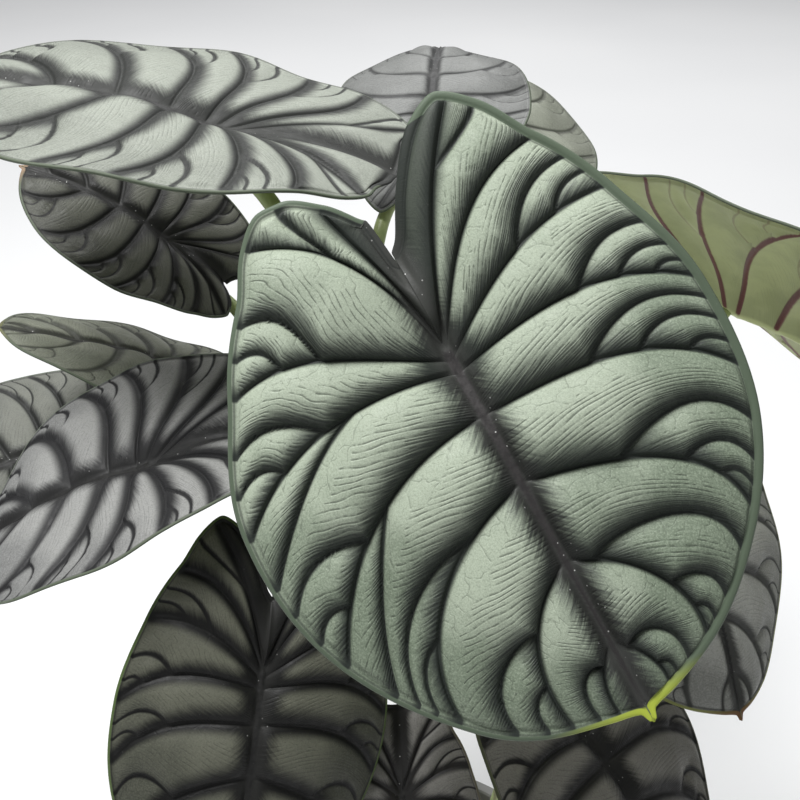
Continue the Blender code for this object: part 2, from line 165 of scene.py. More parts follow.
def smooth_through(knots):
    """A smooth curve through (x, y) knots that doesn't overshoot them."""
    xs, ys = np.array(knots, float).T
    steps = np.diff(xs)
    slopes = np.diff(ys) / steps
    pair = slopes[1:] * slopes[:-1]
    total = slopes[1:] + slopes[:-1]
    inner = np.where(pair > 0, 2 * pair / np.where(pair > 0, total, 1.0), 0.0)
    tangents = np.concatenate([slopes[:1], inner, slopes[-1:]])

    def value(x):
        x = np.clip(x, xs[0], xs[-1])
        i = np.clip(np.searchsorted(xs, x, side="right") - 1, 0, len(steps) - 1)
        t = (x - xs[i]) / steps[i]
        rise = t * t * (3 - 2 * t)
        lead = t * (1 - t) ** 2 * tangents[i]
        trail = t * t * (1 - t) * tangents[i + 1]
        return ys[i] * (1 - rise) + ys[i + 1] * rise + steps[i] * (lead - trail)

    return value


def by_row(values):
    return smooth_through(tuple(enumerate(values)))


radius_at = smooth_through(OUTLINE)
start_of = by_row(VEIN_START)
leaves_at = by_row(VEIN_LEAVES), by_row(LEFT_LEAVES)
ends_at = by_row(VEIN_ENDS), by_row(LEFT_ENDS)
arrives_at = by_row(VEIN_ARRIVES), by_row(LEFT_ARRIVES)
print("side veins on each half:", VEIN_LAST - 1)

# %% [markdown]
# On the real leaf the side veins leave the midrib, bow outwards and meet a thin collecting vein
# just inside the margin. A texture of veins on a plain oval would slide over its relief, so the
# two grid directions are turned into places here: each vein is one smooth curve from the midrib
# to the rim, and beyond it the last columns cross the rim's own narrow band.

# %% Flat blade
def smooth_step(low, high, x):
    t = np.clip((x - low) / (high - low), 0, 1)
    return t * t * (3 - 2 * t)


def between(tables, row, turned):
    """A vein's angle from the common table and the left one, in shares."""
    common, left = tables
    return common(row) * (1 - turned) + left(row) * turned


def heading_of(angle):
    """Unit vectors (to the side, towards the tip) at angles from the tip's way."""
    turn = np.radians(angle)
    return np.stack([np.sin(turn), np.cos(turn)], -1)


def margin(angle, form):
    """Point of the outline and its outward normal, in hub-to-tip lengths, on the right side."""
    lobe, belly, fill, inner, _ = form

    def point(a):
        size = radius_at(a) * (1 + (lobe - 1) * smooth_step(*LOBE_SPAN, a))
        size = size * (1 + belly * smooth_step(*BELLY_RISE, a) * (1 - smooth_step(*BELLY_FALL, a)))
        size = size + inner * smooth_step(*INNER_RISE, a) * (1 - smooth_step(*INNER_FALL, a))
        size = size + fill * (FILLED_NOTCH - size) * smooth_step(*FILL_SPAN, a)
        return size[..., None] * heading_of(a)

    angle = np.asarray(angle, float)
    ahead = point(np.minimum(angle + 0.5, 180)) - point(np.maximum(angle - 0.5, 0))
    normal = np.stack([-ahead[..., 1], ahead[..., 0]], -1)
    return point(angle), normal / np.linalg.norm(normal, axis=-1, keepdims=True)


def rim_fan(u, v, turned):
    """Degrees by which the band's outer edge spreads round the lobe's corner."""
    notch = np.clip(-u, 0, 1)
    past = np.clip(v - 1, 0, 1)
    corner = (notch - past) / np.maximum(np.maximum(notch, past), 1e-6)
    on_notch = np.clip(v, 0, 1) ** FAN_POWER
    on_margin = -np.exp(-FAN_DECAY * np.maximum(u, 0)) * (v > 1)
    spread = np.where(u < 0, np.where(v > 1, corner, on_notch), on_margin)
    return (NOTCH_FAN + (LEFT_FAN - NOTCH_FAN) * turned) * spread


def rim_point(angle, form):
    """Where the margin band begins, at an angle of the outline."""
    end, normal = margin(angle, form)
    inner = end - RIM_SHARE * normal
    inner[..., 0] = np.maximum(inner[..., 0], OFF_MIDDLE)
    return inner


def vein_point(row, along, form):
    """A place along the side vein of a row, from the midrib (0) to the margin band (1)."""
    inner = rim_point(between(ends_at, row, form[-1]), form)
    start = np.stack([np.zeros_like(row), start_of(row)], -1)
    reach = np.linalg.norm(inner - start, axis=-1)[..., None]
    first = start + VEIN_OUT * reach * heading_of(between(leaves_at, row, form[-1]))
    second = inner - VEIN_IN * reach * heading_of(between(arrives_at, row, form[-1]))
    t = along[..., None]
    return (start * (1 - t) ** 3 + 3 * first * t * (1 - t) ** 2
            + 3 * second * t * t * (1 - t) + inner * t**3)


def half_blade(u, v, form):
    """(side, towards tip) of grid points on the right half, in hub-to-tip lengths.

    u counts the lateral veins from the notch's edge (0) to the tip, v runs from the midrib (0)
    to the margin band (1). u from 0 to -1 and v from 1 to 2 cross that band. The last row is
    a small round cap, which closes the drip tip.
    """
    row = np.maximum(u, 0).astype(float)
    along = np.clip(v, 0, 1)
    turned = form[-1]
    end_angle = between(ends_at, row, turned)
    notch_angle = 180 + (between(ends_at, 0.0, turned) - 180) * along**NOTCH_PACE
    notch_end, normal = margin(notch_angle, form)
    sinus = np.exp(-along / SINUS_REACH)[..., None]
    notch = notch_end - RIM_SHARE * (normal * (1 - sinus) + np.array([0.0, -1.0]) * sinus)

    before = vein_point(np.where(row < 2, 1, row), along, form)
    before = np.where(row[..., None] < 1, notch, before)
    after = vein_point(np.where(row < 1, 1, np.where(row < 2, 2, row)), along, form)
    share = np.where(row < 2, row - np.floor(row), 0)[..., None]
    point = before * (1 - share) + after * share
    at_rim = (np.clip((along - RIM_BLEND) / (1 - RIM_BLEND), 0, 1) ** 3 * (row < 2))[..., None]
    point = point * (1 - at_rim) + rim_point(end_angle, form) * at_rim

    outer_angle = np.where(u < 0, notch_angle, end_angle) + rim_fan(u, v, turned)
    outer, _ = margin(np.clip(outer_angle, 0, 180), form)
    across = np.clip(np.maximum(-u, v - 1), 0, 1)[..., None]
    point = point * (1 - across) + outer * across
    cap = np.stack([TIP_HALF * v / 2, TIP_END - TIP_ROUND * (v / 2) ** 2 + 0 * u], -1)
    return np.where((u >= VEIN_LAST)[..., None], cap, point)


widest = half_blade(np.array(4.0), np.array(1.0), (1, 0, 0, 0, 0))
print("rim beside the hub, in lengths:", widest.round(2))

# %% [markdown]
# On the real leaf every side vein sends two or three forks off towards the notch, and each strip
# between two grooves is blown up like a cushion. A fork is given by the vein that it leaves, how
# far out it leaves, and how much of the strip it crosses before the margin. The large front leaf
# has its own forks, read from its pattern; the others draw theirs from a seeded generator, so
# that every run gives the same plant.

# %% Forks of the side veins
NEXT_START, NEXT_CROSSED = 0.22, 0.27
MOST_FORKS, FORK_SPREAD = 3, 2.4
FRONT_FORKS = {
    1: {1: [("tip", 0.70, 0.38)],
        2: [("base", 0.52, 0.46), ("base", 0.76, 0.74)],
        3: [("base", 0.52, 0.43), ("base", 0.70, 0.67), ("base", 0.85, 0.84)],
        4: [("base", 0.40, 0.26), ("base", 0.60, 0.51), ("base", 0.80, 0.78)],
        5: [("base", 0.36, 0.42), ("base", 0.62, 0.69), ("base", 0.80, 0.86)],
        6: [("base", 0.14, 0.30), ("base", 0.60, 0.64), ("base", 0.80, 0.84)],
        7: [("base", 0.20, 0.42), ("base", 0.66, 0.74)]},
    -1: {1: [("base", 0.62, 0.50)],
         2: [("base", 0.54, 0.52), ("base", 0.74, 0.74)],
         3: [("base", 0.50, 0.42), ("base", 0.72, 0.70)],
         4: [("tip", 0.38, 0.35), ("base", 0.56, 0.54), ("base", 0.80, 0.77)],
         5: [("tip", 0.43, 0.44), ("base", 0.24, 0.64), ("base", 0.66, 0.80)],
         6: [("base", 0.42, 0.45), ("base", 0.72, 0.72)],
         7: [("base", 0.30, 0.48)]},
}


def forks_of(leaf):
    """Forks of one blade: half, then strip, then (side of the strip, start, share crossed)."""
    if leaf.name == "front":
        return FRONT_FORKS
    draw = np.random.default_rng(int(leaf.length * 7 + leaf.phase * 100))
    forks = {}
    for half in (1, -1):
        forks[half] = {1: [("tip", draw.uniform(0.4, 0.7), draw.uniform(0.3, 0.5))]}
        for strip in range(2, 7):
            first = draw.uniform(0.45, 0.62)
            crossed = draw.uniform(0.38, 0.52)
            forks[half][strip] = [("base", first, crossed),
                                  ("base", first + NEXT_START, crossed + NEXT_CROSSED)]
    return forks


def creases_at(forks, strip, v):
    """Where the grooves of a strip lie at v, as shares across it from its notch-side vein."""
    lines = [np.zeros_like(v), np.ones_like(v)]
    for side, start, crossed in forks.get(strip, ()):
        t = np.clip((v - start) / (1 - start), 0, 1)
        spread = 1 - (1 - t) ** FORK_SPREAD
        lines.append(1 - (1 - crossed) * spread if side == "base" else crossed * spread)
    return np.stack(lines)


print("forks on the front leaf:",
      sum(len(found) for half in FRONT_FORKS.values() for found in half.values()))

# %% [markdown]
# The blade's grid is finest on the large front leaf, which the camera sees from close by, and
# coarser on the small ones behind. Rows crowd together beside every groove, and columns beside
# the midrib, because the surface turns most sharply there.

# %% Grid of a blade
class Grid(NamedTuple):
    """Rows in each strip, columns on each half, and columns across the margin band."""

    rows: int
    columns: int
    band: int


GRIDS = {"front": Grid(34, 70, 5), "top_left": Grid(20, 48, 4), "right_high": Grid(18, 44, 4),
         "low_left": Grid(16, 42, 4)}
COMMON_GRID = Grid(13, 34, 4)
EVEN_STRIPS, TIP_ROWS = 8, (9, 6)
COLUMN_CROWDING, BAND_CROWDING = 1.25, 0.8
FORK_MARGIN = 0.02


def grid_rows(grid):
    t = np.linspace(0, 1, grid.rows, endpoint=False)
    crowded = 0.5 * t + 0.5 * (0.5 - 0.5 * np.cos(np.pi * t))
    rows = [np.linspace(-1, 0, grid.band + 1, endpoint=False)]
    rows += [strip + crowded for strip in range(EVEN_STRIPS)]
    rows += [np.linspace(EVEN_STRIPS, EVEN_STRIPS + 1, TIP_ROWS[0], endpoint=False),
             np.linspace(EVEN_STRIPS + 1, VEIN_LAST, TIP_ROWS[1])]
    return np.concatenate(rows)


def grid_columns(grid):
    t = np.linspace(0, 1, grid.columns + 1)[1:]
    band = np.linspace(0, 1, grid.band + 1)[1:]
    half = np.concatenate([t**COLUMN_CROWDING, 1 + band**BAND_CROWDING])
    return np.concatenate([-half[::-1], [0], half])


def follow_forks(forks, rows, columns):
    """Row values for every grid point, with the nearest row moved onto each fork."""
    placed = np.repeat(rows[:, None], len(columns), axis=1)
    for half in (1, -1):
        for strip in forks[half]:
            inner = np.flatnonzero((rows > strip + 1e-6) & (rows < strip + 1 - 1e-6))
            for column in np.flatnonzero(columns * half > 0):
                v = np.array([min(abs(columns[column]), 1.0)])
                for crease in creases_at(forks[half], strip, v)[2:, 0]:
                    nearest = inner[np.abs(rows[inner] - strip - crease).argmin()]
                    if FORK_MARGIN < crease < 1 - FORK_MARGIN:
                        placed[nearest, column] = strip + crease
    return placed


for name, grid in GRIDS.items():
    print(name, "grid:", len(grid_rows(grid)), "rows x", len(grid_columns(grid)), "columns")

# %% [markdown]
# Between two grooves the real blade swells up into a cushion that is steep beside the groove and
# flat on top. The height could be drawn as a bump in the material, but then the outline and the
# shadows would stay flat, so it is worked out for each grid point from the grooves on either side
# and moves the mesh. Wide strips stand no higher than a set width allows.

# %% Relief
WIDEST_STRIP = 0.26
CUSHION_FROM, CUSHION_FULL = 0.5, 5.0
CUSHION_LEAN, CUSHION_FLATNESS, CUSHION_END = 1.35, 0.6, 8


def form_of(leaf, left):
    """What tells the left half's outline and veins from the right half's."""
    return (np.where(left, leaf.lobe, 1.0), np.where(left, leaf.belly, 0.0), leaf.fill,
            np.where(left, leaf.inner, 0.0), np.where(left, leaf.turned, 0.0))


def strip_relief(leaf, look, forks, strip, u, v, left):
    """Cushion height and strip width, in lengths, at the points of one strip on one half."""
    form = form_of(leaf, left)
    part = np.clip(u - strip, 0, 1)
    along = np.clip(v, 0, 1)
    far = half_blade(np.full_like(u, strip + 1), along, form)
    near = half_blade(np.full_like(u, strip), along, form)
    width = np.linalg.norm(far - near, axis=-1)
    lines = creases_at(forks, strip, along)
    before = np.max(np.where(lines <= part + 1e-9, lines, 0), axis=0)
    after = np.min(np.where(lines >= part - 1e-9, lines, 1), axis=0)
    span = np.maximum(after - before, 1e-4)
    share = np.clip((part - before) / span, 0, 1) ** CUSHION_LEAN
    pillow = (4 * share * (1 - share)) ** CUSHION_FLATNESS * np.sqrt(1 - along**CUSHION_END)
    pillow = pillow * smooth_step(CUSHION_FROM, CUSHION_FULL, width * span * leaf.length)
    return look.quilt * np.minimum(width * span, WIDEST_STRIP) * pillow, width


def relief_of(leaf, look, forks, rows, u, v):
    """Cushion height and strip width of the whole grid, strip by strip and half by half."""
    height, width = np.zeros_like(u), np.zeros_like(u)
    strips = np.clip(np.floor(rows), 0, VEIN_LAST - 1)
    for half in (-1, 1):
        columns = (v[0] < 0) if half < 0 else (v[0] >= 0)
        for strip in np.unique(strips):
            where = np.ix_(strips == strip, columns)
            height[where], width[where] = strip_relief(
                leaf, look, forks[half], int(strip), u[where], np.abs(v[where]), half < 0)
    return height, width


print("widest strip that still adds height, in lengths:", WIDEST_STRIP)

# %% [markdown]
# The flat blade is then given its form: cushions, the funnel where the stalk arrives, the raised
# midrib, the rolled rim, the waves of the margin, the fold and droop of the halves, and the curl
# along its length. The order matters, because the curl has to carry all the relief with it.

# %% Form of a blade
MIDRIB_HUB, MIDRIB_TIP, MIDRIB_TAPER, MIDRIB_RISE = 1.35, 0.5, 0.6, 0.5
MIDRIB_BESIDE, BESIDE_START, CROWN_START = 0.03, (-0.12, 0.0), (-0.035, -0.01)
RIM_ROLL = 0.4
WAVE_COUNT, WAVE_REACH = 7, 0.6


def bell(x, width):
    return np.exp(-((x / width) ** 2))


def blade_points(leaf, u, v, relief):
    """Points of a blade's upper face in metres, and their flat places in lengths."""
    left = v < 0
    side = np.where(left, -1.0, 1.0)
    flat = half_blade(u, np.abs(v), form_of(leaf, left))
    x = side * flat[..., 0]
    y = flat[..., 1]
    beside_midrib = bell(x, MIDRIB_BESIDE) * smooth_step(*BESIDE_START, y)
    height = relief * (u >= 0) * (np.abs(v) <= 1) * (1 - beside_midrib)
    funnel = np.where(y < 0, 1.0, bell(y, FUNNEL_REACH))
    height = height - FUNNEL_DEPTH * funnel * bell(x, FUNNEL_WIDTH)
    along = np.clip(y, 0, 1)
    valley = VALLEY_DEPTH * (1 - VALLEY_FADE * along)
    height = height - valley * bell(x, VALLEY_WIDTH)
    strand = (MIDRIB_HUB + (MIDRIB_TIP - MIDRIB_HUB) * along**MIDRIB_TAPER) / leaf.length
    crown = np.clip(1 - (x / strand) ** 2, 0, 1) * smooth_step(*CROWN_START, y)
    height = height + crown * MIDRIB_RISE / leaf.length * (1 - 0.5 * along)
    band = np.clip(np.maximum(-u, np.abs(v) - 1), 0, 1)
    roll = RIM_ROLL / leaf.length * (1 - bell(x, MIDRIB_BESIDE))
    height = height + roll * 2 * np.sqrt(np.clip(band * (1 - band), 0, 1))
    out_there = np.clip(np.hypot(x, y) / WAVE_REACH, 0, 1) ** 3
    turn = np.arctan2(x, y)
    height = height + leaf.wave * out_there * np.sin(WAVE_COUNT * turn + 2 * leaf.phase + 3 * side)
    size = leaf.length * MM
    flat = np.stack([x, y], -1)
    x = x * size * leaf.width
    y = y * size
    height = height * size - leaf.fold * np.abs(x) - leaf.cup * x * x / size
    curl = math.radians(leaf.bend) / size
    y_curled = np.sin(curl * y) / curl + height * np.sin(curl * y)
    z_curled = (np.cos(curl * y) - 1) / curl + height * np.cos(curl * y)
    return np.stack([x, -y_curled, z_curled], -1), flat


def leaf_matrix(leaf):
    turn = Euler((math.radians(leaf.dip), math.radians(-leaf.roll),
                  math.radians(leaf.heading)), "YXZ")
    return Matrix.Translation(Vector(leaf.hub) * MM) @ turn.to_matrix().to_4x4()


print("highest leaf joint, mm:", max(leaf.hub[2] for leaf in LEAVES))

# %% [markdown]
# Leaves of this plant differ in tone: the newest are silver-green, older ones in the shade are
# charcoal or olive, and the low leaves' darker colours are partly painted shade. The high right
# leaf's underside is painted lighter, as painted light. Each leaf's look is a row of plain
# numbers:
# the silver colour, the colour it drifts to, the dark of the pigment and painted shade, the widths
# of its bands, and the tones underneath.

# %% Leaf looks
class Look(NamedTuple):
    """Colours (linear), band widths and rim widths (millimetres) of one leaf."""

    silver: tuple
    drift: tuple
    dark: tuple = (0.014, 0.015, 0.014)
    band: float = 7.0
    tip_band: float = 4.0
    rib_band: float = 7.0
    soft: float = 0.65
    fork_band: float = 0.38
    quilt: float = 0.15
    lines: float = 0.4
    feather: float = 0.25
    strand: tuple = (0.022, 0.022, 0.021)
    edge: tuple = (0.09, 0.11, 0.075)
    rims: tuple = (0.9, 0.9)
    tip: tuple = (0.14, 0.14, 0.07)
    under: tuple = (0.26, 0.29, 0.16)
    under_vein: tuple = (0.10, 0.045, 0.04)


LOOKS = {
    "front": Look((0.355, 0.405, 0.315), (0.175, 0.215, 0.155), (0.018, 0.022, 0.020), band=9.5,
                  tip_band=1.5, rib_band=8.5, soft=0.9, fork_band=1.0, quilt=0.22, lines=1.0,
                  feather=0.5, strand=(0.052, 0.048, 0.048), edge=(0.095, 0.125, 0.085),
                  rims=(1.2, 2.4), tip=(0.42, 0.50, 0.06), under=(0.17, 0.20, 0.14),
                  under_vein=(0.05, 0.05, 0.045)),
    "top_left": Look((0.285, 0.305, 0.262), (0.215, 0.23, 0.198), (0.016, 0.017, 0.016), band=9.5,
                     tip_band=6, rib_band=12, quilt=0.12),
    # Darker partly as painted shade, as are the three low front leaves.
    "mid_left": Look((0.115, 0.118, 0.098), (0.07, 0.072, 0.06), (0.006, 0.006, 0.006), band=7,
                     tip_band=4.5, rib_band=7, tip=(0.24, 0.16, 0.10)),
    "left_small": Look((0.21, 0.22, 0.175), (0.15, 0.16, 0.125), (0.05, 0.053, 0.042), band=4.5,
                       tip_band=3.0, rib_band=4, quilt=0.11),
    "low_left": Look((0.27, 0.272, 0.262), (0.18, 0.182, 0.177), (0.009, 0.009, 0.010), band=9,
                     tip_band=6.5, rib_band=10),
    "far_left": Look((0.15, 0.155, 0.135), (0.10, 0.105, 0.095), band=5.0, tip_band=3.0),
    # The three low front leaves are darker partly as painted shade.
    "front_left_low": Look((0.115, 0.118, 0.09), (0.06, 0.063, 0.048), (0.003, 0.003, 0.0035),
                           band=9.5, tip_band=6, rib_band=12, edge=(0.08, 0.12, 0.04)),
    "front_mid_low": Look((0.19, 0.185, 0.17), (0.12, 0.115, 0.105), (0.009, 0.008, 0.008),
                          band=6, tip_band=4.0, rib_band=6, edge=(0.10, 0.09, 0.06)),
    "front_right_low": Look((0.21, 0.204, 0.178), (0.14, 0.136, 0.115), (0.006, 0.006, 0.006),
                            band=8.5, tip_band=5.5, rib_band=10, edge=(0.10, 0.11, 0.06)),
    "right_low": Look((0.34, 0.345, 0.32), (0.24, 0.245, 0.225), (0.05, 0.052, 0.047), band=5.0,
                      tip_band=2.5, rib_band=4, edge=(0.22, 0.24, 0.08), tip=(0.17, 0.09, 0.04)),
    # Its underside is painted lighter, as painted light, since little light reaches it.
    "right_high": Look((0.30, 0.35, 0.29), (0.23, 0.28, 0.22), under=(0.50, 0.55, 0.27),
                       under_vein=(0.12, 0.016, 0.03)),
    "back_centre": Look((0.20, 0.205, 0.197), (0.14, 0.144, 0.138), (0.04, 0.041, 0.04), band=5,
                        tip_band=3, rib_band=5, quilt=0.12, strand=(0.06, 0.06, 0.06)),
    "back_right": Look((0.25, 0.265, 0.215), (0.17, 0.18, 0.145), (0.06, 0.064, 0.05), band=4.6,
                       tip_band=2.6, rib_band=4, quilt=0.12),
}
print("looks for", len(LOOKS), "leaves")

# %% [markdown]
# A material is a chain of nodes. A small recipe helper keeps each chain short to read: it adds a
# node, feeds it with numbers or with other nodes' sockets, and hands back its output.

# %% Recipe helper
class Recipe:
    """One material's nodes, each fed by plain values or by other nodes' sockets."""

    def __init__(self, name, roughness, specular=0.5):
        self.material = bpy.data.materials.new(name)
        self.material.use_nodes = True
        self.tree = self.material.node_tree
        self.shader = self.tree.nodes["Principled BSDF"]
        self.shader.inputs["Roughness"].default_value = roughness
        self.shader.inputs["Specular IOR Level"].default_value = specular

    def feed(self, socket, value):
        if isinstance(value, bpy.types.NodeSocket):
            self.tree.links.new(value, socket)
        elif isinstance(value, tuple) and socket.type == "RGBA":
            socket.default_value = (*value, 1)
        else:
            socket.default_value = value

    def node(self, kind, out, inputs, **settings):
        made = self.tree.nodes.new("ShaderNode" + kind)
        for key, value in settings.items():
            setattr(made, key, value)
        for key, value in inputs.items():
            self.feed(made.inputs[key], value)
        return made.outputs[out]

    def math(self, operation, a, b=0.0, c=0.0):
        return self.node("Math", 0, {0: a, 1: b, 2: c}, operation=operation)

    def plus(self, a, b):
        return self.math("ADD", a, b)

    def minus(self, a, b):
        return self.math("SUBTRACT", a, b)

    def times(self, a, b):
        return self.math("MULTIPLY", a, b)

    def over(self, a, b):
        return self.math("DIVIDE", a, b)

    def times_plus(self, a, b, c):
        return self.math("MULTIPLY_ADD", a, b, c)

    def least(self, a, b):
        return self.math("MINIMUM", a, b)

    def most(self, a, b):
        return self.math("MAXIMUM", a, b)

    def rest(self, value):
        """What is left of 1 when value is taken away."""
        return self.minus(1.0, value)

    def between(self, value, low, high, to_low=0.0, to_high=1.0):
        """Smoothly carries value from the range low-high to to_low-to_high."""
        return self.node("MapRange", 0, {"Value": value, "From Min": low, "From Max": high,
                                         "To Min": to_low, "To Max": to_high},
                         interpolation_type="SMOOTHSTEP")

    def mix(self, share, first, second):
        return self.node("Mix", 2, {0: share, 6: first, 7: second}, data_type="RGBA")

    def value_of(self, name):
        return self.node("Attribute", "Fac", {}, attribute_name=name)

    def map_of(self, name):
        whole = self.node("UVMap", 0, {}, uv_map=name)
        across = self.node("SeparateXYZ", 0, {0: whole})
        return across, across.node.outputs[1]

    def place(self):
        return self.node("TexCoord", "Object", {})

    def stretched(self, place, scale):
        return self.node("Mapping", 0, {"Vector": place, "Scale": scale})

    def noise(self, vector, scale, detail=2.0, roughness=0.5, sides="3D"):
        return self.node("TexNoise", "Fac", {"Vector": vector, "Scale": scale, "Detail": detail,
                                             "Roughness": roughness}, noise_dimensions=sides)

    def flat_noise(self, x, y, scale, detail=1.0, roughness=0.5):
        spot = self.node("CombineXYZ", 0, {0: x, 1: y})
        return self.noise(spot, scale, detail, roughness, "2D")

    def net(self, x, y, scale):
        """Distance to the nearest wall of a flat net of random cells, in cells."""
        spot = self.node("CombineXYZ", 0, {0: x, 1: y})
        return self.node("TexVoronoi", "Distance", {"Vector": spot, "Scale": scale},
                         feature="DISTANCE_TO_EDGE", voronoi_dimensions="2D")

    def bump(self, height, distance, strength=1.0, under=None):
        inputs = {"Height": height, "Distance": distance, "Strength": strength}
        if under is not None:
            inputs["Normal"] = under
        return self.node("Bump", 0, inputs)

    def finish(self, colour, normal=None, roughness=None):
        self.feed(self.shader.inputs["Base Color"], colour)
        if normal is not None:
            self.feed(self.shader.inputs["Normal"], normal)
        if roughness is not None:
            self.feed(self.shader.inputs["Roughness"], roughness)
        return self.material


def toned(colour, share):
    """A colour made lighter or darker by a share."""
    return tuple(share * part for part in colour)


print("steps of a recipe:", ", ".join(step for step in vars(Recipe) if step[0] != "_"))

# %% [markdown]
# The upper face carries most of the likeness. A picture of one leaf would fit only that leaf, so
# all of its pattern is worked out in the material from a few measures: the distance to the
# groove on either side, the way run along the vein, and the distance from the midrib. The forks
# are repeated here as the mesh has them, from the few numbers stored with each face.

# %% Measures on a blade
class Measures(NamedTuple):
    """What each step of a blade's finish reads: millimetres, shares, and the place itself."""

    to_notch: object
    to_tip: object
    to_vein: object
    part: object
    width: object
    run: object
    out: object
    rib: object
    down: object
    side: object
    inside: object
    along: object
    notch_shade: object
    place: object


def measures_of(recipe):
    """Distances to the grooves and the tip-side vein, and the values stored on the mesh."""
    part, out = recipe.map_of("place")
    width, run = recipe.map_of("strip")
    before, after = 0.0, 1.0
    for number in range(MOST_FORKS):
        start, span = recipe.map_of(f"fork_{number + 1}")
        unused = recipe.over(recipe.rest(recipe.least(out, 1.0)), recipe.rest(start))
        spread = recipe.rest(recipe.math("POWER", recipe.least(unused, 1.0), FORK_SPREAD))
        crease = recipe.times_plus(span, spread, recipe.math("LESS_THAN", span, 0.0))
        tipward = recipe.math("GREATER_THAN", crease, part)
        behind = recipe.times(crease, recipe.rest(tipward))
        ahead = recipe.rest(recipe.times(tipward, recipe.rest(crease)))
        before = recipe.most(before, behind)
        after = recipe.least(after, ahead)
    to_notch = recipe.times(recipe.minus(part, before), width)
    to_tip = recipe.times(recipe.minus(after, part), width)
    to_vein = recipe.times(recipe.rest(part), width)
    stored = (recipe.value_of(name) for name in ("rib", "down", "side", "inside", "along", "notch_shade"))
    return Measures(to_notch, to_tip, to_vein, part, width, run, out, *stored, recipe.place())


print("measures:", ", ".join(Measures._fields))

# %% [markdown]
# Between two grooves, fine dark lines run slantwise out of the tip-side vein, close together near
# the midrib and wider apart near the margin. On the notch side they give way to faint loops, and
# a still finer net lies over everything.

# %% Fine lines of the upper face
LINE_GAP, LINE_EDGE, LINE_RIDGE = 2.5, (0.03, 0.2), 0.45
LINE_HOOK, HOOK_REACH, LINE_BEND = 1.2, 5.0, 0.015
LINE_SWELL, SWELL_SCALE = 1.3, 0.13
MIDRIB_SLOPE, LEFT_SLOPE, RIGHT_SLOPE = 1.6, 0.65, 1.7
SHORT_REACH, SHORT_FADE = (2.0, 6.0), 1.5
LOOP_SIZE, LOOP_SHARE, LOOP_BEND, LOOP_STRETCH = 5.5, 0.30, 4.0, 0.8
ZIGZAG, ZIGZAG_SCALE = 6.0, 0.2
NET_SIZE, NET_EDGE = 0.8, 0.2
STREAK_STRETCH = 0.12


class Marks(NamedTuple):
    """Darkness of the fine lines, their ridges, the net, and streaks along the lines."""

    lines: object
    ridges: object
    net: object
    streaks: object


def line_family(recipe, start, slope, shift, swell):
    """Distance in millimetres from the nearest of many even lines, measured square to them."""
    count = recipe.plus(recipe.times_plus(start, 1 / LINE_GAP, swell), shift)
    off = recipe.math("ABSOLUTE", recipe.minus(recipe.math("FRACT", count), 0.5))
    lean = recipe.math("INVERSE_SQRT", recipe.times_plus(slope, slope, 1.0))
    return recipe.times(recipe.times(off, lean), LINE_GAP)


def line_starts(recipe, at):
    """How far along its vein the line through each point starts, and the line's slope."""
    hook = recipe.between(at.to_tip, 0.0, HOOK_REACH, 0.0, LINE_HOOK)
    outer = recipe.between(at.side, -0.5, 0.5, LEFT_SLOPE, RIGHT_SLOPE)
    near_midrib = recipe.between(at.out, 0.05, 0.85, 1.0, 0.0)
    slope = recipe.times_plus(near_midrib, recipe.minus(MIDRIB_SLOPE, outer), outer)
    start = recipe.minus(recipe.minus(at.run, hook), recipe.times(at.to_vein, slope))
    bend = recipe.times(recipe.times(at.to_vein, at.to_vein), LINE_BEND)
    return recipe.minus(start, bend), slope


def off_lines(recipe, at, start, slope):
    """Distance from the nearest line: long lines, and short ones between them."""
    swell = recipe.times(recipe.flat_noise(at.to_vein, start, SWELL_SCALE), LINE_SWELL)
    long_off = line_family(recipe, start, slope, 0.0, swell)
    short_off = line_family(recipe, start, slope, 0.5, swell)
    reach = recipe.between(recipe.flat_noise(0.0, start, 0.5), 0.3, 0.7, *SHORT_REACH)
    past = recipe.between(recipe.minus(at.to_tip, reach), 0.0, SHORT_FADE, 0.0, 2.0)
    return recipe.least(long_off, recipe.plus(short_off, past))


def fine_lines(recipe, at):
    start, slope = line_starts(recipe, at)
    off = off_lines(recipe, at, start, slope)
    span = recipe.plus(at.to_notch, at.to_tip)
    zigzag = recipe.minus(recipe.flat_noise(at.to_notch, at.run, ZIGZAG_SCALE), 0.5)
    border = recipe.plus(recipe.times_plus(span, -LOOP_SHARE, at.to_notch),
                         recipe.times(zigzag, ZIGZAG))
    in_lines = recipe.between(border, -1.0, 1.5)
    bent = recipe.times(recipe.flat_noise(at.to_notch, at.run, 0.3), LOOP_BEND)
    loops = recipe.net(recipe.plus(at.to_notch, bent), recipe.times(at.run, LOOP_STRETCH),
                       1 / LOOP_SIZE)
    off = recipe.node("Mix", 0, {0: in_lines, 2: recipe.times(loops, LOOP_SIZE), 3: off})

    faint = recipe.between(recipe.flat_noise(at.to_notch, at.run, 0.35, 2.0), 0.3, 0.6, 0.3, 1.0)
    weight = recipe.times(faint, recipe.times_plus(in_lines, 0.5, 0.5))
    weight = recipe.times(weight, recipe.between(span, 2.5, 9.0))
    # The lines fade under the painted shade beside an open notch.
    weight = recipe.times(weight, recipe.between(at.notch_shade, 0.0, 1.0, 1.0, 0.1))
    lines = recipe.times(recipe.between(off, *LINE_EDGE, 1.0, 0.0), weight)
    ridges = recipe.minus(recipe.times(recipe.between(off, 0.0, LINE_RIDGE), weight), weight)
    walls = recipe.net(recipe.minus(at.to_notch, at.to_tip), at.run, 1 / NET_SIZE)
    net = recipe.between(walls, 0.0, NET_EDGE, 1.0, 0.0)
    streaks = recipe.flat_noise(start, recipe.times(at.to_tip, STREAK_STRETCH), 1.0, 2.0, 0.6)
    return Marks(lines, ridges, net, streaks)


print("gap between fine lines, mm:", LINE_GAP, "- mesh of the net, mm:", NET_SIZE)
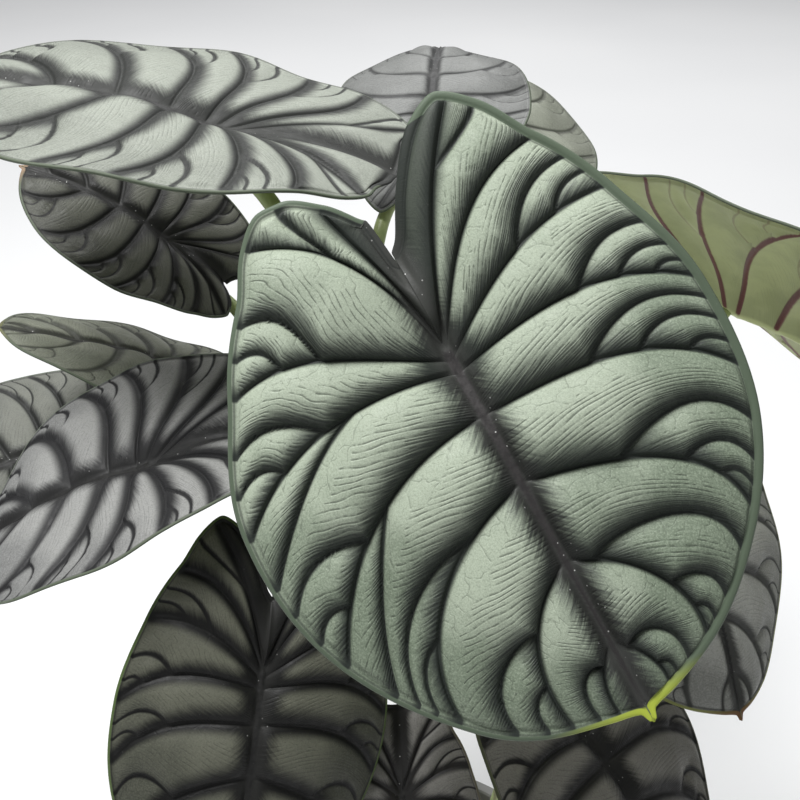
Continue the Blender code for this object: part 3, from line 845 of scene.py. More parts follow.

# %% [markdown]
# The silver isn't one flat colour. It drifts to a duller tone towards the margin, and a painted
# gradient of light makes it lighter on the lobes and darker towards the tip. Pores grey it, the
# lighter pores are painted glints, and the fine lines and the net are drawn on it.

# %% Silver
CLOUD_SCALE, PORE_SCALE = 45, 1900
PORE_GLINT, PORE_DARK = 0.30, 0.22
LINE_DARK, NET_DARK = 0.75, 0.16


def silver_of(recipe, look, at, marks):
    """The silver with its drift, painted light and glints, pores, lines and net, and the pore
    pattern.
    """
    drift = recipe.plus(recipe.noise(at.place, CLOUD_SCALE, 2.0),
                        recipe.between(at.out, 0.15, 0.85, -0.2, 0.22))
    drift = recipe.times_plus(at.side, 0.04, drift)
    # Painted light: lighter on the lobes and darker towards the tip, as the light falls.
    drift = recipe.plus(drift, recipe.between(at.down, -30.0, 70.0, -0.35, 0.16))
    colour = recipe.mix(recipe.between(drift, 0.3, 0.8), look.silver, look.drift)
    pores_and_glints = recipe.noise(at.place, PORE_SCALE, 3.0, 0.65)
    darker = toned(look.drift, 0.25)
    # Painted glints: the lighter pores.
    colour = recipe.mix(recipe.between(pores_and_glints, 0.45, 0.7, 0.0, PORE_GLINT), colour,
                        toned(look.silver, 1.35))
    colour = recipe.mix(recipe.between(pores_and_glints, 0.32, 0.5, PORE_DARK, 0.0), colour, darker)
    colour = recipe.mix(recipe.times(marks.lines, LINE_DARK * look.lines), colour, darker)
    colour = recipe.mix(recipe.times(marks.net, NET_DARK * look.lines), colour, darker)
    return colour, pores_and_glints


print("brightest silver, linear:", max(max(look.silver) for look in LOOKS.values()))

# %% [markdown]
# The dark bands are charcoal pigment and partly painted shade. A soft band lies along each vein,
# broad on its notch side, where painted shade stands for the cushion sloping away from the light,
# and thin on its tip side. Pigment lies round the midrib, and round the hub the darkening is
# partly painted shade of the funnel. Bands multiplied together give the clear silver that is left
# between them, and streaks along the fine lines fray its edge, as on the real leaf. One wide
# gradient would round off the corners where two bands meet.

# %% Pigment and painted shade
TAPER, TAPER_FROM = 0.38, 1.12
NARROW_STRIP, WIDE_STRIP, NARROW_BAND = 2.0, 16.0, 0.45
HUB_SHADE = 15.0
HAIR_SLANT, HAIR_STRETCH, HAIR_SHARE = 0.8, 0.15, 1.6
MOST_PIGMENT_AND_SHADE = 0.96


def band_share(recipe, look, to_main, to_fork, wide, narrow):
    """How far out of the pigment a point is, in widths of the band on one side."""
    return recipe.least(recipe.over(to_main, wide),
                        recipe.over(to_fork, recipe.times(narrow, look.fork_band)))


def pigment_and_shade_of(recipe, look, at, streaks):
    """How dark it is, pigment and painted shade: beside veins, beside the midrib and around the
    hub.
    """
    tapered = recipe.times_plus(at.out, -TAPER, TAPER_FROM)
    wide, narrow = (
        recipe.times(tapered, recipe.between(width, NARROW_STRIP, WIDE_STRIP, NARROW_BAND, 1.0))
        for width in (at.width, recipe.plus(at.to_notch, at.to_tip)))
    to_base_vein = recipe.times(at.part, at.width)
    notch_side = band_share(recipe, look, at.to_vein, at.to_tip, wide, narrow)
    tip_side = band_share(recipe, look, to_base_vein, at.to_notch, wide, narrow)
    by_rib = recipe.over(recipe.minus(at.rib, 1.0), look.rib_band)
    from_hub = recipe.times_plus(at.rib, at.rib, recipe.times(at.down, at.down))
    by_hub = recipe.over(recipe.math("SQRT", from_hub), HUB_SHADE)
    stray = recipe.times(recipe.minus(streaks, 0.5), look.feather)
    hairs = recipe.flat_noise(recipe.times_plus(at.rib, -HAIR_SLANT, at.down),
                              recipe.times(at.rib, HAIR_STRETCH), 1.0, 2.0, 0.6)
    hairs = recipe.times(recipe.minus(hairs, 0.5), HAIR_SHARE * look.feather)

    low, high = 0.5 - look.soft / 2, 0.5 + look.soft / 2
    # The broad notch-side band is partly painted shade.
    clear = recipe.between(recipe.plus(recipe.over(notch_side, look.band), stray), low, high)
    clear = recipe.times(clear, recipe.between(recipe.over(tip_side, look.tip_band), low, high))
    clear = recipe.times(clear, recipe.between(recipe.plus(by_rib, hairs), low, high))
    # Painted shade, on top of the pigment: round the hub, and over the strip beside an open notch.
    clear = recipe.times(clear, recipe.between(recipe.plus(by_hub, stray), 0.25, 0.9))
    lit = recipe.rest(recipe.times(at.notch_shade, 0.85))
    return recipe.rest(recipe.times(clear, lit))


def add_pigment_and_shade(recipe, look, at, streaks, silver):
    """Lays pigment and painted shade over the silver: deepest in the grooves, browner by the
    midrib.
    """
    groove = recipe.least(at.to_notch, at.to_tip)
    # Painted shade darkens each groove's crease, over the vein's own dark line.
    pigment_and_shade = recipe.most(pigment_and_shade_of(recipe, look, at, streaks),
                          recipe.between(groove, 0.05, 0.4, 0.85, 0.0))
    by_rib = tuple(0.5 * (dark + strand) for dark, strand in zip(look.dark, look.strand))
    shade = recipe.mix(recipe.between(at.rib, 1.0, 7.0), by_rib, look.dark)
    return recipe.mix(recipe.least(pigment_and_shade, MOST_PIGMENT_AND_SHADE), silver, shade)


print("softest pigment edge, as a share of its band:", max(look.soft for look in LOOKS.values()))

# %% [markdown]
# The rest of the upper face is laid over the pigment and painted shade in order: the pale rim,
# which turns yellow at the drip tip, the thin dark collecting vein inside it, the midrib's strand,
# and a little dust, which gathers beside the midrib.

# %% Rim, midrib and dust
TIP_FROM, TIP_FULL, ALL_RIM_FROM = 0.92, 0.985, 0.972
TIP_SWELL = 0.6
COLLECTOR_PLACE, COLLECTOR_EDGE = 0.45, (0.1, 0.5, 0.55)
STRAND_FRAY, STRAND_SOFT, STRAND_COVER = 0.5, 0.45, 0.9
DUST_SCALE, DUST_EDGE, DUST_SHARE, DUST_TONE = 700, (0.08, 0.2), (0.90, 0.91), (0.6, 0.6, 0.58)


def add_rim(recipe, look, at, colour):
    left_rim, right_rim = look.rims
    rim = recipe.times_plus(at.side, (right_rim - left_rim) / 2, (right_rim + left_rim) / 2)
    at_tip = recipe.between(at.along, TIP_FROM, TIP_FULL)
    inside = recipe.minus(at.inside, recipe.times_plus(at_tip, TIP_SWELL, rim))
    on_rim = recipe.times(recipe.between(inside, -0.2, 0.25, 1.0, 0.0),
                          recipe.between(at.out, 0.97, 1.0))
    on_rim = recipe.most(on_rim, recipe.between(at.along, ALL_RIM_FROM, TIP_FULL))
    colour = recipe.mix(on_rim, colour, recipe.mix(at_tip, look.edge, look.tip))
    off_collector = recipe.math("ABSOLUTE", recipe.minus(inside, COLLECTOR_PLACE))
    collector = recipe.between(off_collector, *COLLECTOR_EDGE, 0.0)
    return recipe.mix(recipe.times(collector, recipe.rest(at_tip)), colour, look.dark)


def add_midrib(recipe, look, at, streaks, colour):
    edge = recipe.plus(recipe.between(at.along, -0.02, 1.0, MIDRIB_HUB, MIDRIB_TIP),
                       recipe.between(streaks, 0.2, 0.8, -STRAND_FRAY, STRAND_FRAY))
    strand = recipe.between(recipe.minus(at.rib, edge), -STRAND_SOFT, STRAND_SOFT, 1.0, 0.0)
    strand = recipe.times(strand, recipe.between(at.along, -0.03, -0.012))
    strand = recipe.times(strand, recipe.between(at.along, 0.90, TIP_FULL, 1.0, 0.0))
    fibre = recipe.between(recipe.noise(at.place, 520, 4.0, 0.65), 0.35, 0.65)
    tone = recipe.mix(fibre, look.strand, toned(look.strand, 0.5))
    tone = recipe.mix(recipe.between(at.along, 0.05, 0.8), tone, toned(look.strand, 0.6))
    return recipe.mix(recipe.times(strand, STRAND_COVER), colour, tone)


def add_dust(recipe, at, colour):
    grains = recipe.node("TexVoronoi", "Distance", {"Vector": at.place, "Scale": DUST_SCALE})
    chosen = recipe.node("SeparateColor", 0, {0: grains.node.outputs["Color"]})
    dust = recipe.times(recipe.between(grains, *DUST_EDGE, 1.0, 0.0),
                        recipe.between(chosen, *DUST_SHARE))
    dust = recipe.times(dust, recipe.between(at.rib, 1.0, 6.0, 0.8, 0.04))
    return recipe.mix(dust, colour, DUST_TONE)


print("rim of the front leaf, left and right, mm:", LOOKS["front"].rims)

# %% [markdown]
# The mesh has the cushions and the midrib. What is finer than its grid is a bump: the steep last
# step into each groove, the ridges of the lines, the net and the pores, added up as heights in
# millimetres. A bump of its own for each would give the same face at several times the cost.

# %% Upper face
GROOVE_HEIGHT, GROOVE_STEP = 0.45, 1.3
RIDGE_HEIGHT, LEAST_RIDGE, NET_SINK, PORE_HEIGHT = 0.13, 0.02, 0.12, 0.049
SHINE_SCALE, SHINE = 300, (0.46, 0.6)


def upper_bump(recipe, look, at, marks, pores_and_glints):
    pressed = recipe.times_plus(marks.net, -NET_SINK, marks.ridges)
    groove = recipe.least(at.to_notch, at.to_tip)
    valley = recipe.times(recipe.between(groove, 0.0, GROOVE_STEP), GROOVE_HEIGHT * look.lines)
    height = recipe.times_plus(pressed, RIDGE_HEIGHT * look.lines + LEAST_RIDGE, valley)
    off_rib = recipe.times(recipe.between(at.rib, 1.0, 3.0), recipe.between(at.out, 1.0, 0.97))
    height = recipe.times_plus(pores_and_glints, PORE_HEIGHT, recipe.times(height, off_rib))
    return recipe.bump(height, MM)


def upper_finish(name, look):
    recipe = Recipe("upper_" + name, 0.5, 0.25)
    at = measures_of(recipe)
    marks = fine_lines(recipe, at)
    silver, pores_and_glints = silver_of(recipe, look, at, marks)
    colour = add_pigment_and_shade(recipe, look, at, marks.streaks, silver)
    colour = add_rim(recipe, look, at, colour)
    colour = add_midrib(recipe, look, at, marks.streaks, colour)
    colour = add_dust(recipe, at, colour)
    normal = upper_bump(recipe, look, at, marks, pores_and_glints)
    roughness = recipe.between(recipe.noise(at.place, SHINE_SCALE, 2.0), 0.3, 0.7, *SHINE)
    return recipe.finish(colour, normal, roughness)


print("step into a groove, mm:", GROOVE_HEIGHT)

# %% [markdown]
# The underside is smoother and paler, with raised veins that are maroon where the light reaches
# them. It keeps the same measures, so its veins lie exactly behind the grooves above.

# %% Underside
UNDER_CLOUD_SCALE = 70
MAIN_VEIN, FORK_VEIN = (0.5, 1.1, 0.92), (0.3, 0.7, 0.35)
VEIN_FRAY = 0.3
UNDER_STRAND = 1.4, 2.4


def under_finish(name, look):
    recipe = Recipe("under_" + name, 0.5, 0.35)
    at = measures_of(recipe)
    marks = fine_lines(recipe, at)
    clouds = recipe.between(recipe.noise(at.place, UNDER_CLOUD_SCALE, 3.0), 0.35, 0.65)
    colour = recipe.mix(clouds, look.under, toned(look.under, 0.8))
    colour = recipe.mix(recipe.times(marks.lines, 0.22), colour, toned(look.under, 0.5))
    colour = recipe.mix(recipe.times(marks.net, 0.08), colour, toned(look.under, 0.5))
    main = recipe.least(at.to_vein, recipe.times(at.part, at.width))
    fork = recipe.least(at.to_notch, at.to_tip)
    main_vein, fork_vein = (
        recipe.between(recipe.times_plus(marks.streaks, VEIN_FRAY, distance), *edge, 0.0)
        for distance, edge in ((main, MAIN_VEIN), (fork, FORK_VEIN)))
    colour = recipe.mix(recipe.most(main_vein, fork_vein), colour, look.under_vein)
    strand = recipe.times(recipe.between(at.rib, *UNDER_STRAND, 1.0, 0.0),
                          recipe.between(at.along, 0.75, 0.95, 1.0, 0.0))
    colour = recipe.mix(recipe.times(strand, STRAND_COVER), colour, toned(look.under, 1.25))
    normal = recipe.bump(recipe.times_plus(marks.net, 0.4, marks.lines), 0.1 * MM, 0.7)
    return recipe.finish(colour, normal)


print("main vein's half width below, mm:", MAIN_VEIN[:2])

# %% [markdown]
# A finished mesh becomes a piece of the plant in one step: it gets its finishes, rides on the
# plant's only body, and takes the place of its packed solid. Doing all this in one helper makes it
# hard to forget a step for one piece.

# %% Pieces
def mesh_of(name, built):
    """Mesh data from a bmesh, which is freed."""
    data = bpy.data.meshes.new(name)
    built.to_mesh(data)
    built.free()
    return data


def mesh_from(name, drawn):
    """Mesh data of an object as its modifiers or its bevel leave it. The object is removed."""
    bpy.context.view_layer.update()
    graph = bpy.context.evaluated_depsgraph_get()
    data = bpy.data.meshes.new_from_object(drawn.evaluated_get(graph))
    bpy.data.objects.remove(drawn)
    data.name = name
    return data


def link_object(name, data):
    made = bpy.data.objects.new(name, data)
    scene.collection.objects.link(made)
    return made


def add_piece(name, data, slot, finishes, *replaced):
    data.shade_smooth()
    data.materials.clear()
    for finish in finishes:
        data.materials.append(finish)
    piece = link_object(name, data)
    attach(piece, "root")
    if replaced:
        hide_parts(*replaced)
    return piece


# %% [markdown]
# A blade starts as a plain grid. Each point is moved to its place, and the measures that the
# materials read are stored on the mesh: values on the points, and the strip's own coordinates on
# the face corners, because they start afresh at every side vein. The runs of different strips
# are set apart, so that no two strips show the same lines.

# %% Measures stored on a blade
NO_FORK = 0.998, -1e-4
RUN_SHARE, STRIP_SHIFT, HALF_SHIFT = 0.58, 37, 170


def grid_mesh(name, rows, columns):
    """A plain grid's mesh, with the row and column of each of its points."""
    built = bmesh.new()
    bmesh.ops.create_grid(built, x_segments=columns - 1, y_segments=rows - 1, size=1)
    data = mesh_of(name, built)
    places = np.empty(len(data.vertices) * 3)
    data.vertices.foreach_get("co", places)
    places = places.reshape(-1, 3)
    row = np.rint((places[:, 1] + 1) / 2 * (rows - 1)).astype(int)
    column = np.rint((places[:, 0] + 1) / 2 * (columns - 1)).astype(int)
    return data, row, column


def store_values(leaf, data, u, v, flat, row, column):
    """Values on the points: distances in millimetres, shares, and the half (-1 or 1)."""
    out = np.abs(v)
    band = np.clip(np.maximum(-u, out - 1), 0, 1)
    inner = np.minimum((1 - np.clip(out, 0, 1)) * 0.6, np.where(u < 1, np.clip(u, 0, 1) * 0.2, 1))
    values = {
        "rib": np.abs(flat[..., 0]) * leaf.length,
        "down": flat[..., 1] * leaf.length,
        "along": flat[..., 1],
        "side": np.clip(v * 4, -1, 1),
        "inside": ((1 - band) * RIM_SHARE + inner) * leaf.length,
        # Partly painted shade over the strip beside an open notch, where the funnel lies.
        "notch_shade": smooth_step(1.3, 1.0, u) if leaf.fill < 0.3 else np.zeros_like(u),
    }
    for name, value in values.items():
        layer = data.attributes.new(name, "FLOAT", "POINT")
        layer.data.foreach_set("value", value[row, column].astype(np.float32))


def store_map(data, name, first, second):
    layer = data.uv_layers.new(name=name)
    layer.data.foreach_set("uv", np.stack([first, second], -1).astype(np.float32).ravel())


def store_maps(leaf, forks, data, u, columns, row, column, width):
    """Maps on the face corners: place in the strip, its width and run, and its three forks."""
    corners = np.empty(len(data.loops), int)
    data.loops.foreach_get("vertex_index", corners)
    corner_u = u[row[corners], column[corners]]
    corner_v = columns[column[corners]]
    strips = np.clip(np.floor(corner_u.reshape(-1, 4).mean(1)), 0, VEIN_LAST - 1)
    strips = strips.repeat(4).astype(int)
    halves = np.where(corner_v.reshape(-1, 4).mean(1) < 0, -1, 1).repeat(4)
    first_rows = np.searchsorted(u[:, len(columns) // 2], np.arange(VEIN_LAST) - 1e-9)
    corner_width = width[first_rows[strips], column[corners]] * leaf.length
    out = np.abs(corner_v)
    store_map(data, "place", np.clip(corner_u - strips, 0, 1), out)
    store_map(data, "strip", corner_width,
              out * RUN_SHARE * leaf.length + strips * STRIP_SHIFT + halves * HALF_SHIFT)
    for number in range(MOST_FORKS):
        starts, spans = (np.full((3, VEIN_LAST), value) for value in NO_FORK)
        for half, strip, (side, start, crossed) in (
                (half, strip, found[number]) for half in (-1, 1)
                for strip, found in forks[half].items() if number < len(found)):
            starts[half, strip] = start
            spans[half, strip] = crossed - 1 if side == "base" else crossed
        store_map(data, f"fork_{number + 1}", starts[halves, strips], spans[halves, strips])


print("a strip without a further fork stores:", NO_FORK)

# %% [markdown]
# Solidify gives the blade its thickness and its underside. On the real leaf the flesh thins out
# at the drip tip and at the corners of the lobes. A shell of even thickness would fold over
# itself there, so a vertex group makes it thinner.

# %% Make the blades
THIN_SHARE = 0.15


def thin_places(u, v, flat):
    """Where the blade thins out: at the drip tip, the inner lobe corner and the notch's end."""
    x, y = np.abs(flat[..., 0]), flat[..., 1]
    drip = smooth_step(0.945, 0.97, y)
    corner = smooth_step(0.9, 0.6, u) * smooth_step(0.6, 0.8, np.abs(v))
    sinus = smooth_step(1.6, 1.0, u) * smooth_step(0.05, 0.03, x) * (y < 0.02)
    return np.maximum(np.maximum(drip, corner), sinus)


def add_thickness(blade, thin):
    shell = blade.modifiers.new("thickness", "SOLIDIFY")
    shell.thickness = BLADE_THICK
    shell.offset = -1
    shell.material_offset = 1
    group = blade.vertex_groups.new(name="thin")
    for index in np.flatnonzero(thin > 0):
        group.add([int(index)], float(thin[index]), "REPLACE")
    shell.vertex_group = "thin"
    shell.invert_vertex_group = True
    shell.thickness_vertex_group = THIN_SHARE


def face_upwards(data, up):
    """Turns the faces over if they look down the leaf's own normal."""
    normals = np.empty(len(data.polygons) * 3)
    data.polygons.foreach_get("normal", normals)
    if (normals.reshape(-1, 3) @ np.array(up)).sum() < 0:
        data.flip_normals()


def make_blade(leaf, look):
    grid = GRIDS.get(leaf.name, COMMON_GRID)
    forks = forks_of(leaf)
    rows, columns = grid_rows(grid), grid_columns(grid)
    data, row, column = grid_mesh("blade_" + leaf.name, len(rows), len(columns))
    u = follow_forks(forks, rows, columns)
    v = np.repeat(columns[None, :], len(rows), axis=0)
    relief, width = relief_of(leaf, look, forks, rows, u, v)
    points, flat = blade_points(leaf, u, v, relief)
    turn = np.array(leaf_matrix(leaf))
    points = points @ turn[:3, :3].T + turn[:3, 3]
    data.vertices.foreach_set("co", points[row, column].ravel())
    store_values(leaf, data, u, v, flat, row, column)
    store_maps(leaf, forks, data, u, columns, row, column, width)
    finishes = upper_finish(leaf.name, look), under_finish(leaf.name, look)
    blade = add_piece("blade_" + leaf.name, data, "blade", finishes, "leaf_" + leaf.name)
    add_thickness(blade, thin_places(u, v, flat)[row, column])
    face_upwards(data, leaf_matrix(leaf).to_3x3() @ Vector((0, 0, 1)))
    print("blade", leaf.name, "with", len(data.vertices), "points")


for leaf in LEAVES:
    make_blade(leaf, LOOKS[leaf.name])

# %% [markdown]
# A stalk rises from the soil, arches over and meets its blade at a right angle. It is a curve
# with a round bevel, thicker at the foot, and is turned into a mesh once its route is set. Its
# skin is a pale green with faint darker mottling that fades upwards.

# %% Stalks
SOIL_TOP = 95 * MM
STAND_DEPTH = 14 * MM
PETIOLE_BASE_RADIUS, PETIOLE_TOP_RADIUS = 3.6 * MM, 2.1 * MM
KNEE_DROP, KNEE_SLOPE, KNEE_RISE, KNEE_SHARE = 9 * MM, 0.1, 0.8, 1.3
STALK_OVERLAP = 0.6 * MM
MERGE_WITHIN = 0.01 * MM
UP = Vector((0, 0, 1))


def stalk_finish():
    recipe = Recipe("stalk_green", 0.38, 0.5)
    place = recipe.place()
    drawn_out = recipe.stretched(place, (1.0, 1.0, 0.22))
    mottle = recipe.between(recipe.noise(drawn_out, 420, 4.0, 0.6), 0.44, 0.62)
    height = recipe.node("SeparateXYZ", 2, {0: place})
    low = recipe.between(height, 0.10, 0.34, 1.0, 0.12)
    green = recipe.mix(recipe.between(recipe.noise(place, 90, 2.0), 0.3, 0.7),
                       (0.33, 0.42, 0.16), (0.42, 0.49, 0.22))
    colour = recipe.mix(recipe.times(mottle, low), green, (0.10, 0.075, 0.045))
    fibres = recipe.noise(recipe.stretched(place, (1.0, 1.0, 0.04)), 1500, 2.0)
    return recipe.finish(colour, recipe.bump(fibres, 0.1 * MM, 0.6))


def stalk_route(leaf):
    """Foot, knee and top of a stalk, and its way at the knee: it rises, then arches over."""
    under_blade = (FUNNEL_DEPTH + VALLEY_DEPTH) * leaf.length * MM + BLADE_THICK
    top = leaf_matrix(leaf) @ (UP * (STALK_OVERLAP - under_blade))
    solid_top = leaf_matrix(leaf) @ (UP * -under_blade)
    foot = Vector((leaf.foot[0] * MM, leaf.foot[1] * MM, SOIL_TOP - STAND_DEPTH))
    inward = Vector((foot.x - solid_top.x, foot.y - solid_top.y, 0))
    drop = UP * (KNEE_DROP + KNEE_SLOPE * inward.length)
    knee = solid_top + inward * leaf.arch + Vector(leaf.bow) * MM - drop
    way = (UP * KNEE_RISE - inward / max(inward.length, MM)).normalized()
    return foot, knee, top, way


def stalk_line(leaf):
    """The stalk as a bevelled curve through its foot, knee and top."""
    foot, knee, top, way = stalk_route(leaf)
    normal = leaf_matrix(leaf).to_3x3() @ UP
    height = knee.z - foot.z
    last = (top - knee).length
    line = bpy.data.curves.new("stalk_line", "CURVE")
    line.dimensions = "3D"
    line.bevel_depth = PETIOLE_TOP_RADIUS
    line.bevel_resolution = 6
    line.resolution_u = 32
    line.use_fill_caps = True
    spline = line.splines.new("BEZIER")
    spline.bezier_points.add(2)
    before_knee = max((knee.xy - foot.xy).length, 0.1 * height)
    points = (
        (foot, UP, 0.55 * height, 0.55 * height, PETIOLE_BASE_RADIUS / PETIOLE_TOP_RADIUS),
        (knee, way, before_knee, 0.4 * last, KNEE_SHARE),
        (top, normal, 0.35 * last, 0.35 * last, 1.0),
    )
    for point, (place, tangent, back, ahead, share) in zip(spline.bezier_points, points):
        point.co = place
        point.handle_left = place - tangent * back
        point.handle_right = place + tangent * ahead
        point.radius = share
    return link_object("stalk_line", line)


def make_stalk(leaf, finish):
    data = mesh_from("stalk_" + leaf.name, stalk_line(leaf))
    merged = bmesh.new()
    merged.from_mesh(data)
    bmesh.ops.remove_doubles(merged, verts=merged.verts[:], dist=MERGE_WITHIN)
    bmesh.ops.recalc_face_normals(merged, faces=merged.faces[:])
    merged.to_mesh(data)
    merged.free()
    add_piece("stalk_" + leaf.name, data, "petiole", [finish], "petiole_" + leaf.name)


stalk_green = stalk_finish()
for leaf in LEAVES:
    make_stalk(leaf, stalk_green)
print("stalks:", len(LEAVES))

# %% [markdown]
# The soil is a dark, crumbly potting mix. Its top is a lathed disc with many rings, roughened by
# seeded noise, and small crumbs, bark chips and pale perlite grains lie on it. Only the top is
# ever seen, so the detail goes there.

# %% Soil
POT_HEIGHT = 108 * MM
POT_BASE_RADIUS, POT_TOP_RADIUS = 45 * MM, 59 * MM
POT_WALL, POT_FLOOR = 2.2 * MM, 3.2 * MM
INNER_BEVEL = 0.8 * MM
SOIL_SEGMENTS, SOIL_RINGS, SOIL_GAP = 160, 64, 0.3 * MM
LUMP_WAVES, LUMP_HEIGHT = (0.31, 0.27, 0.19), 0.8 * MM
CRUMB_SIZE, CRUMB_HEIGHT = 5 * MM, 1.3 * MM


def lathe(name, profile, segments):
    """A solid turned about Z from a (radius, height) profile that starts and ends on the axis."""
    built = bmesh.new()
    verts = [built.verts.new((radius, 0, height)) for radius, height in profile]
    edges = [built.edges.new(pair) for pair in zip(verts[:-1], verts[1:])]
    bmesh.ops.spin(built, geom=verts + edges, axis=(0, 0, 1), cent=(0, 0, 0), dvec=(0, 0, 0),
                   angle=2 * math.pi, steps=segments, use_merge=True, use_normal_flip=False)
    bmesh.ops.remove_doubles(built, verts=built.verts[:], dist=MERGE_WITHIN)
    bmesh.ops.recalc_face_normals(built, faces=built.faces[:])
    return mesh_of(name, built)


def inner_radius(height):
    share = (height - POT_FLOOR) / (POT_HEIGHT - INNER_BEVEL - POT_FLOOR)
    return POT_BASE_RADIUS - POT_WALL + share * (POT_TOP_RADIUS - POT_BASE_RADIUS)


def soil_height(x, y):
    """Height of the soil's surface: broad lumps, then crumbs."""
    first, second, third = LUMP_WAVES
    lump = math.sin(x / MM * first + 1.1) * math.cos(y / MM * second)
    lump += math.sin((x - y) / MM * third)
    crumb = noise.fractal(Vector((x, y, 0)) / CRUMB_SIZE, 0.9, 2.1, 4)
    return SOIL_TOP + LUMP_HEIGHT * lump + CRUMB_HEIGHT * crumb


def soil_finish():
    recipe = Recipe("dark_soil", 0.95, 0.2)
    place = recipe.place()
    coarse = recipe.noise(place, 180, 4.0, 0.65)
    fine = recipe.noise(place, 1500, 3.0, 0.7)
    colour = recipe.mix(recipe.between(coarse, 0.35, 0.65),
                        (0.018, 0.011, 0.007), (0.06, 0.036, 0.021))
    colour = recipe.mix(recipe.between(fine, 0.55, 0.75, 0.0, 0.7), colour, (0.10, 0.065, 0.04))
    normal = recipe.bump(fine, 0.5 * MM, 0.8, recipe.bump(coarse, MM, 0.8))
    return recipe.finish(colour, normal)


bottom = POT_FLOOR + SOIL_GAP
edge_radius = inner_radius(SOIL_TOP) - SOIL_GAP
soil_profile = [(0, bottom), (inner_radius(bottom) - 2 * SOIL_GAP, bottom)]
soil_profile += [(edge_radius * ring, SOIL_TOP) for ring in np.linspace(1, 0.015, SOIL_RINGS)]
soil_profile.append((0, SOIL_TOP))
soil_data = lathe("soil_mix", soil_profile, SOIL_SEGMENTS)
for vert in soil_data.vertices:
    if vert.co.z > SOIL_TOP - MM:
        vert.co.z = soil_height(vert.co.x, vert.co.y)
dark_soil = soil_finish()
add_piece("soil_mix", soil_data, "soil", [dark_soil], "soil")
print("soil points:", len(soil_data.vertices))

# %% [markdown]
# A real mix shows separate grains: dark crumbs, flat brown chips of bark and white perlite. They
# could be painted on, but a low light would show a flat disc, so each grain is a small ball that
# is dented by noise, flattened and laid on the soil, clear of the stalks. All grains of one kind
# are one mesh.

# %% Crumbs, chips and perlite
WALL_CLEARANCE, STALK_CLEARANCE = 3 * MM, 6 * MM
DENT, DENT_SCALE, SUNK_SHARE = 0.35, 1.3, 0.25


def grain_finish(name, light, dark, roughness):
    recipe = Recipe(name, roughness, 0.25)
    place = recipe.place()
    mottle = recipe.between(recipe.noise(place, 700, 4.0, 0.6), 0.35, 0.65)
    colour = recipe.mix(mottle, light, dark)
    normal = recipe.bump(recipe.noise(place, 2200, 3.0), 0.3 * MM, 0.8)
    return recipe.finish(colour, normal)


def grain_place(draw, sizes, flatness):
    """A random place, turn and size of one grain as a matrix, or None beside a stalk."""
    turn = draw.uniform(0, 2 * math.pi)
    radius = (edge_radius - WALL_CLEARANCE) * math.sqrt(draw.uniform(0, 1))
    x, y = radius * math.cos(turn), radius * math.sin(turn)
    feet = [math.hypot(x - leaf.foot[0] * MM, y - leaf.foot[1] * MM) for leaf in LEAVES]
    if min(feet) < STALK_CLEARANCE:
        return None
    size = draw.uniform(*sizes) * MM
    spin = Euler(draw.uniform(-0.5, 0.5, 3) + np.array([0, 0, turn])).to_matrix().to_4x4()
    scale = Matrix.Diagonal((size, size * draw.uniform(0.6, 1.0), size * flatness, 1))
    height = soil_height(x, y) + SUNK_SHARE * size * flatness
    return Matrix.Translation((x, y, height)) @ spin @ scale


def scatter(name, count, sizes, flatness, finish, seed):
    """Small lumps lying on the soil in one mesh, kept clear of the stalks and the wall."""
    draw = np.random.default_rng(seed)
    built = bmesh.new()
    placed = 0
    while placed < count:
        place = grain_place(draw, sizes, flatness)
        if place is None:
            continue
        lump = bmesh.ops.create_icosphere(built, subdivisions=2, radius=1)["verts"]
        for vert in lump:
            dent = noise.noise(vert.co * DENT_SCALE + Vector((placed, seed, 0)))
            vert.co = vert.co * (1 + DENT * dent)
        bmesh.ops.transform(built, matrix=place, verts=lump)
        placed += 1
    add_piece(name, mesh_of(name, built), "soil", [finish])
    print(name, "lumps:", placed)


scatter("soil_crumbs", 260, (0.9, 2.4), 0.7, dark_soil, 11)
bark_brown = grain_finish("bark_brown", (0.11, 0.06, 0.03), (0.035, 0.02, 0.012), 0.85)
scatter("bark_chips", 70, (2.0, 4.2), 0.4, bark_brown, 12)
perlite_white = grain_finish("perlite_white", (0.72, 0.71, 0.68), (0.5, 0.49, 0.46), 0.8)
scatter("perlite_grains", 80, (0.8, 1.9), 0.8, perlite_white, 13)

# %% [markdown]
# The pot is a plain grower's pot in matt grey plastic. A lathe gives its wall, foot and rim, a
# narrow bevel softens the corners, and the drain holes are cut through the floor. The plastic has
# a faint grain and slight rubbed patches.

# %% Pot
RIM_HEIGHT, RIM_STEP = 15 * MM, 2.6 * MM
DRAIN_HOLES, DRAIN_RING, DRAIN_RADIUS = 6, 27 * MM, 4.5 * MM
POT_SEGMENTS, HOLE_SEGMENTS = 176, 32
CORNER_WIDTH, CORNER_ANGLE, SHARP_ANGLE = 0.35 * MM, 25, 50


def pot_finish():
    recipe = Recipe("grey_plastic", 0.55, 0.4)
    place = recipe.place()
    broad = recipe.between(recipe.noise(place, 30, 4.0), 0.3, 0.7)
    colour = recipe.mix(broad, (0.25, 0.25, 0.24), (0.31, 0.31, 0.30))
    drawn = recipe.noise(recipe.stretched(place, (0.05, 0.05, 1.0)), 900, 2.0)
    colour = recipe.mix(recipe.between(drawn, 0.5, 0.8, 0.0, 0.25), colour, (0.36, 0.36, 0.35))
    grain = recipe.noise(place, 4200, 2.0)
    normal = recipe.bump(grain, 0.08 * MM, 0.6, recipe.bump(drawn, 0.12 * MM, 0.5))
    return recipe.finish(colour, normal, recipe.between(broad, 0.0, 1.0, 0.48, 0.62))


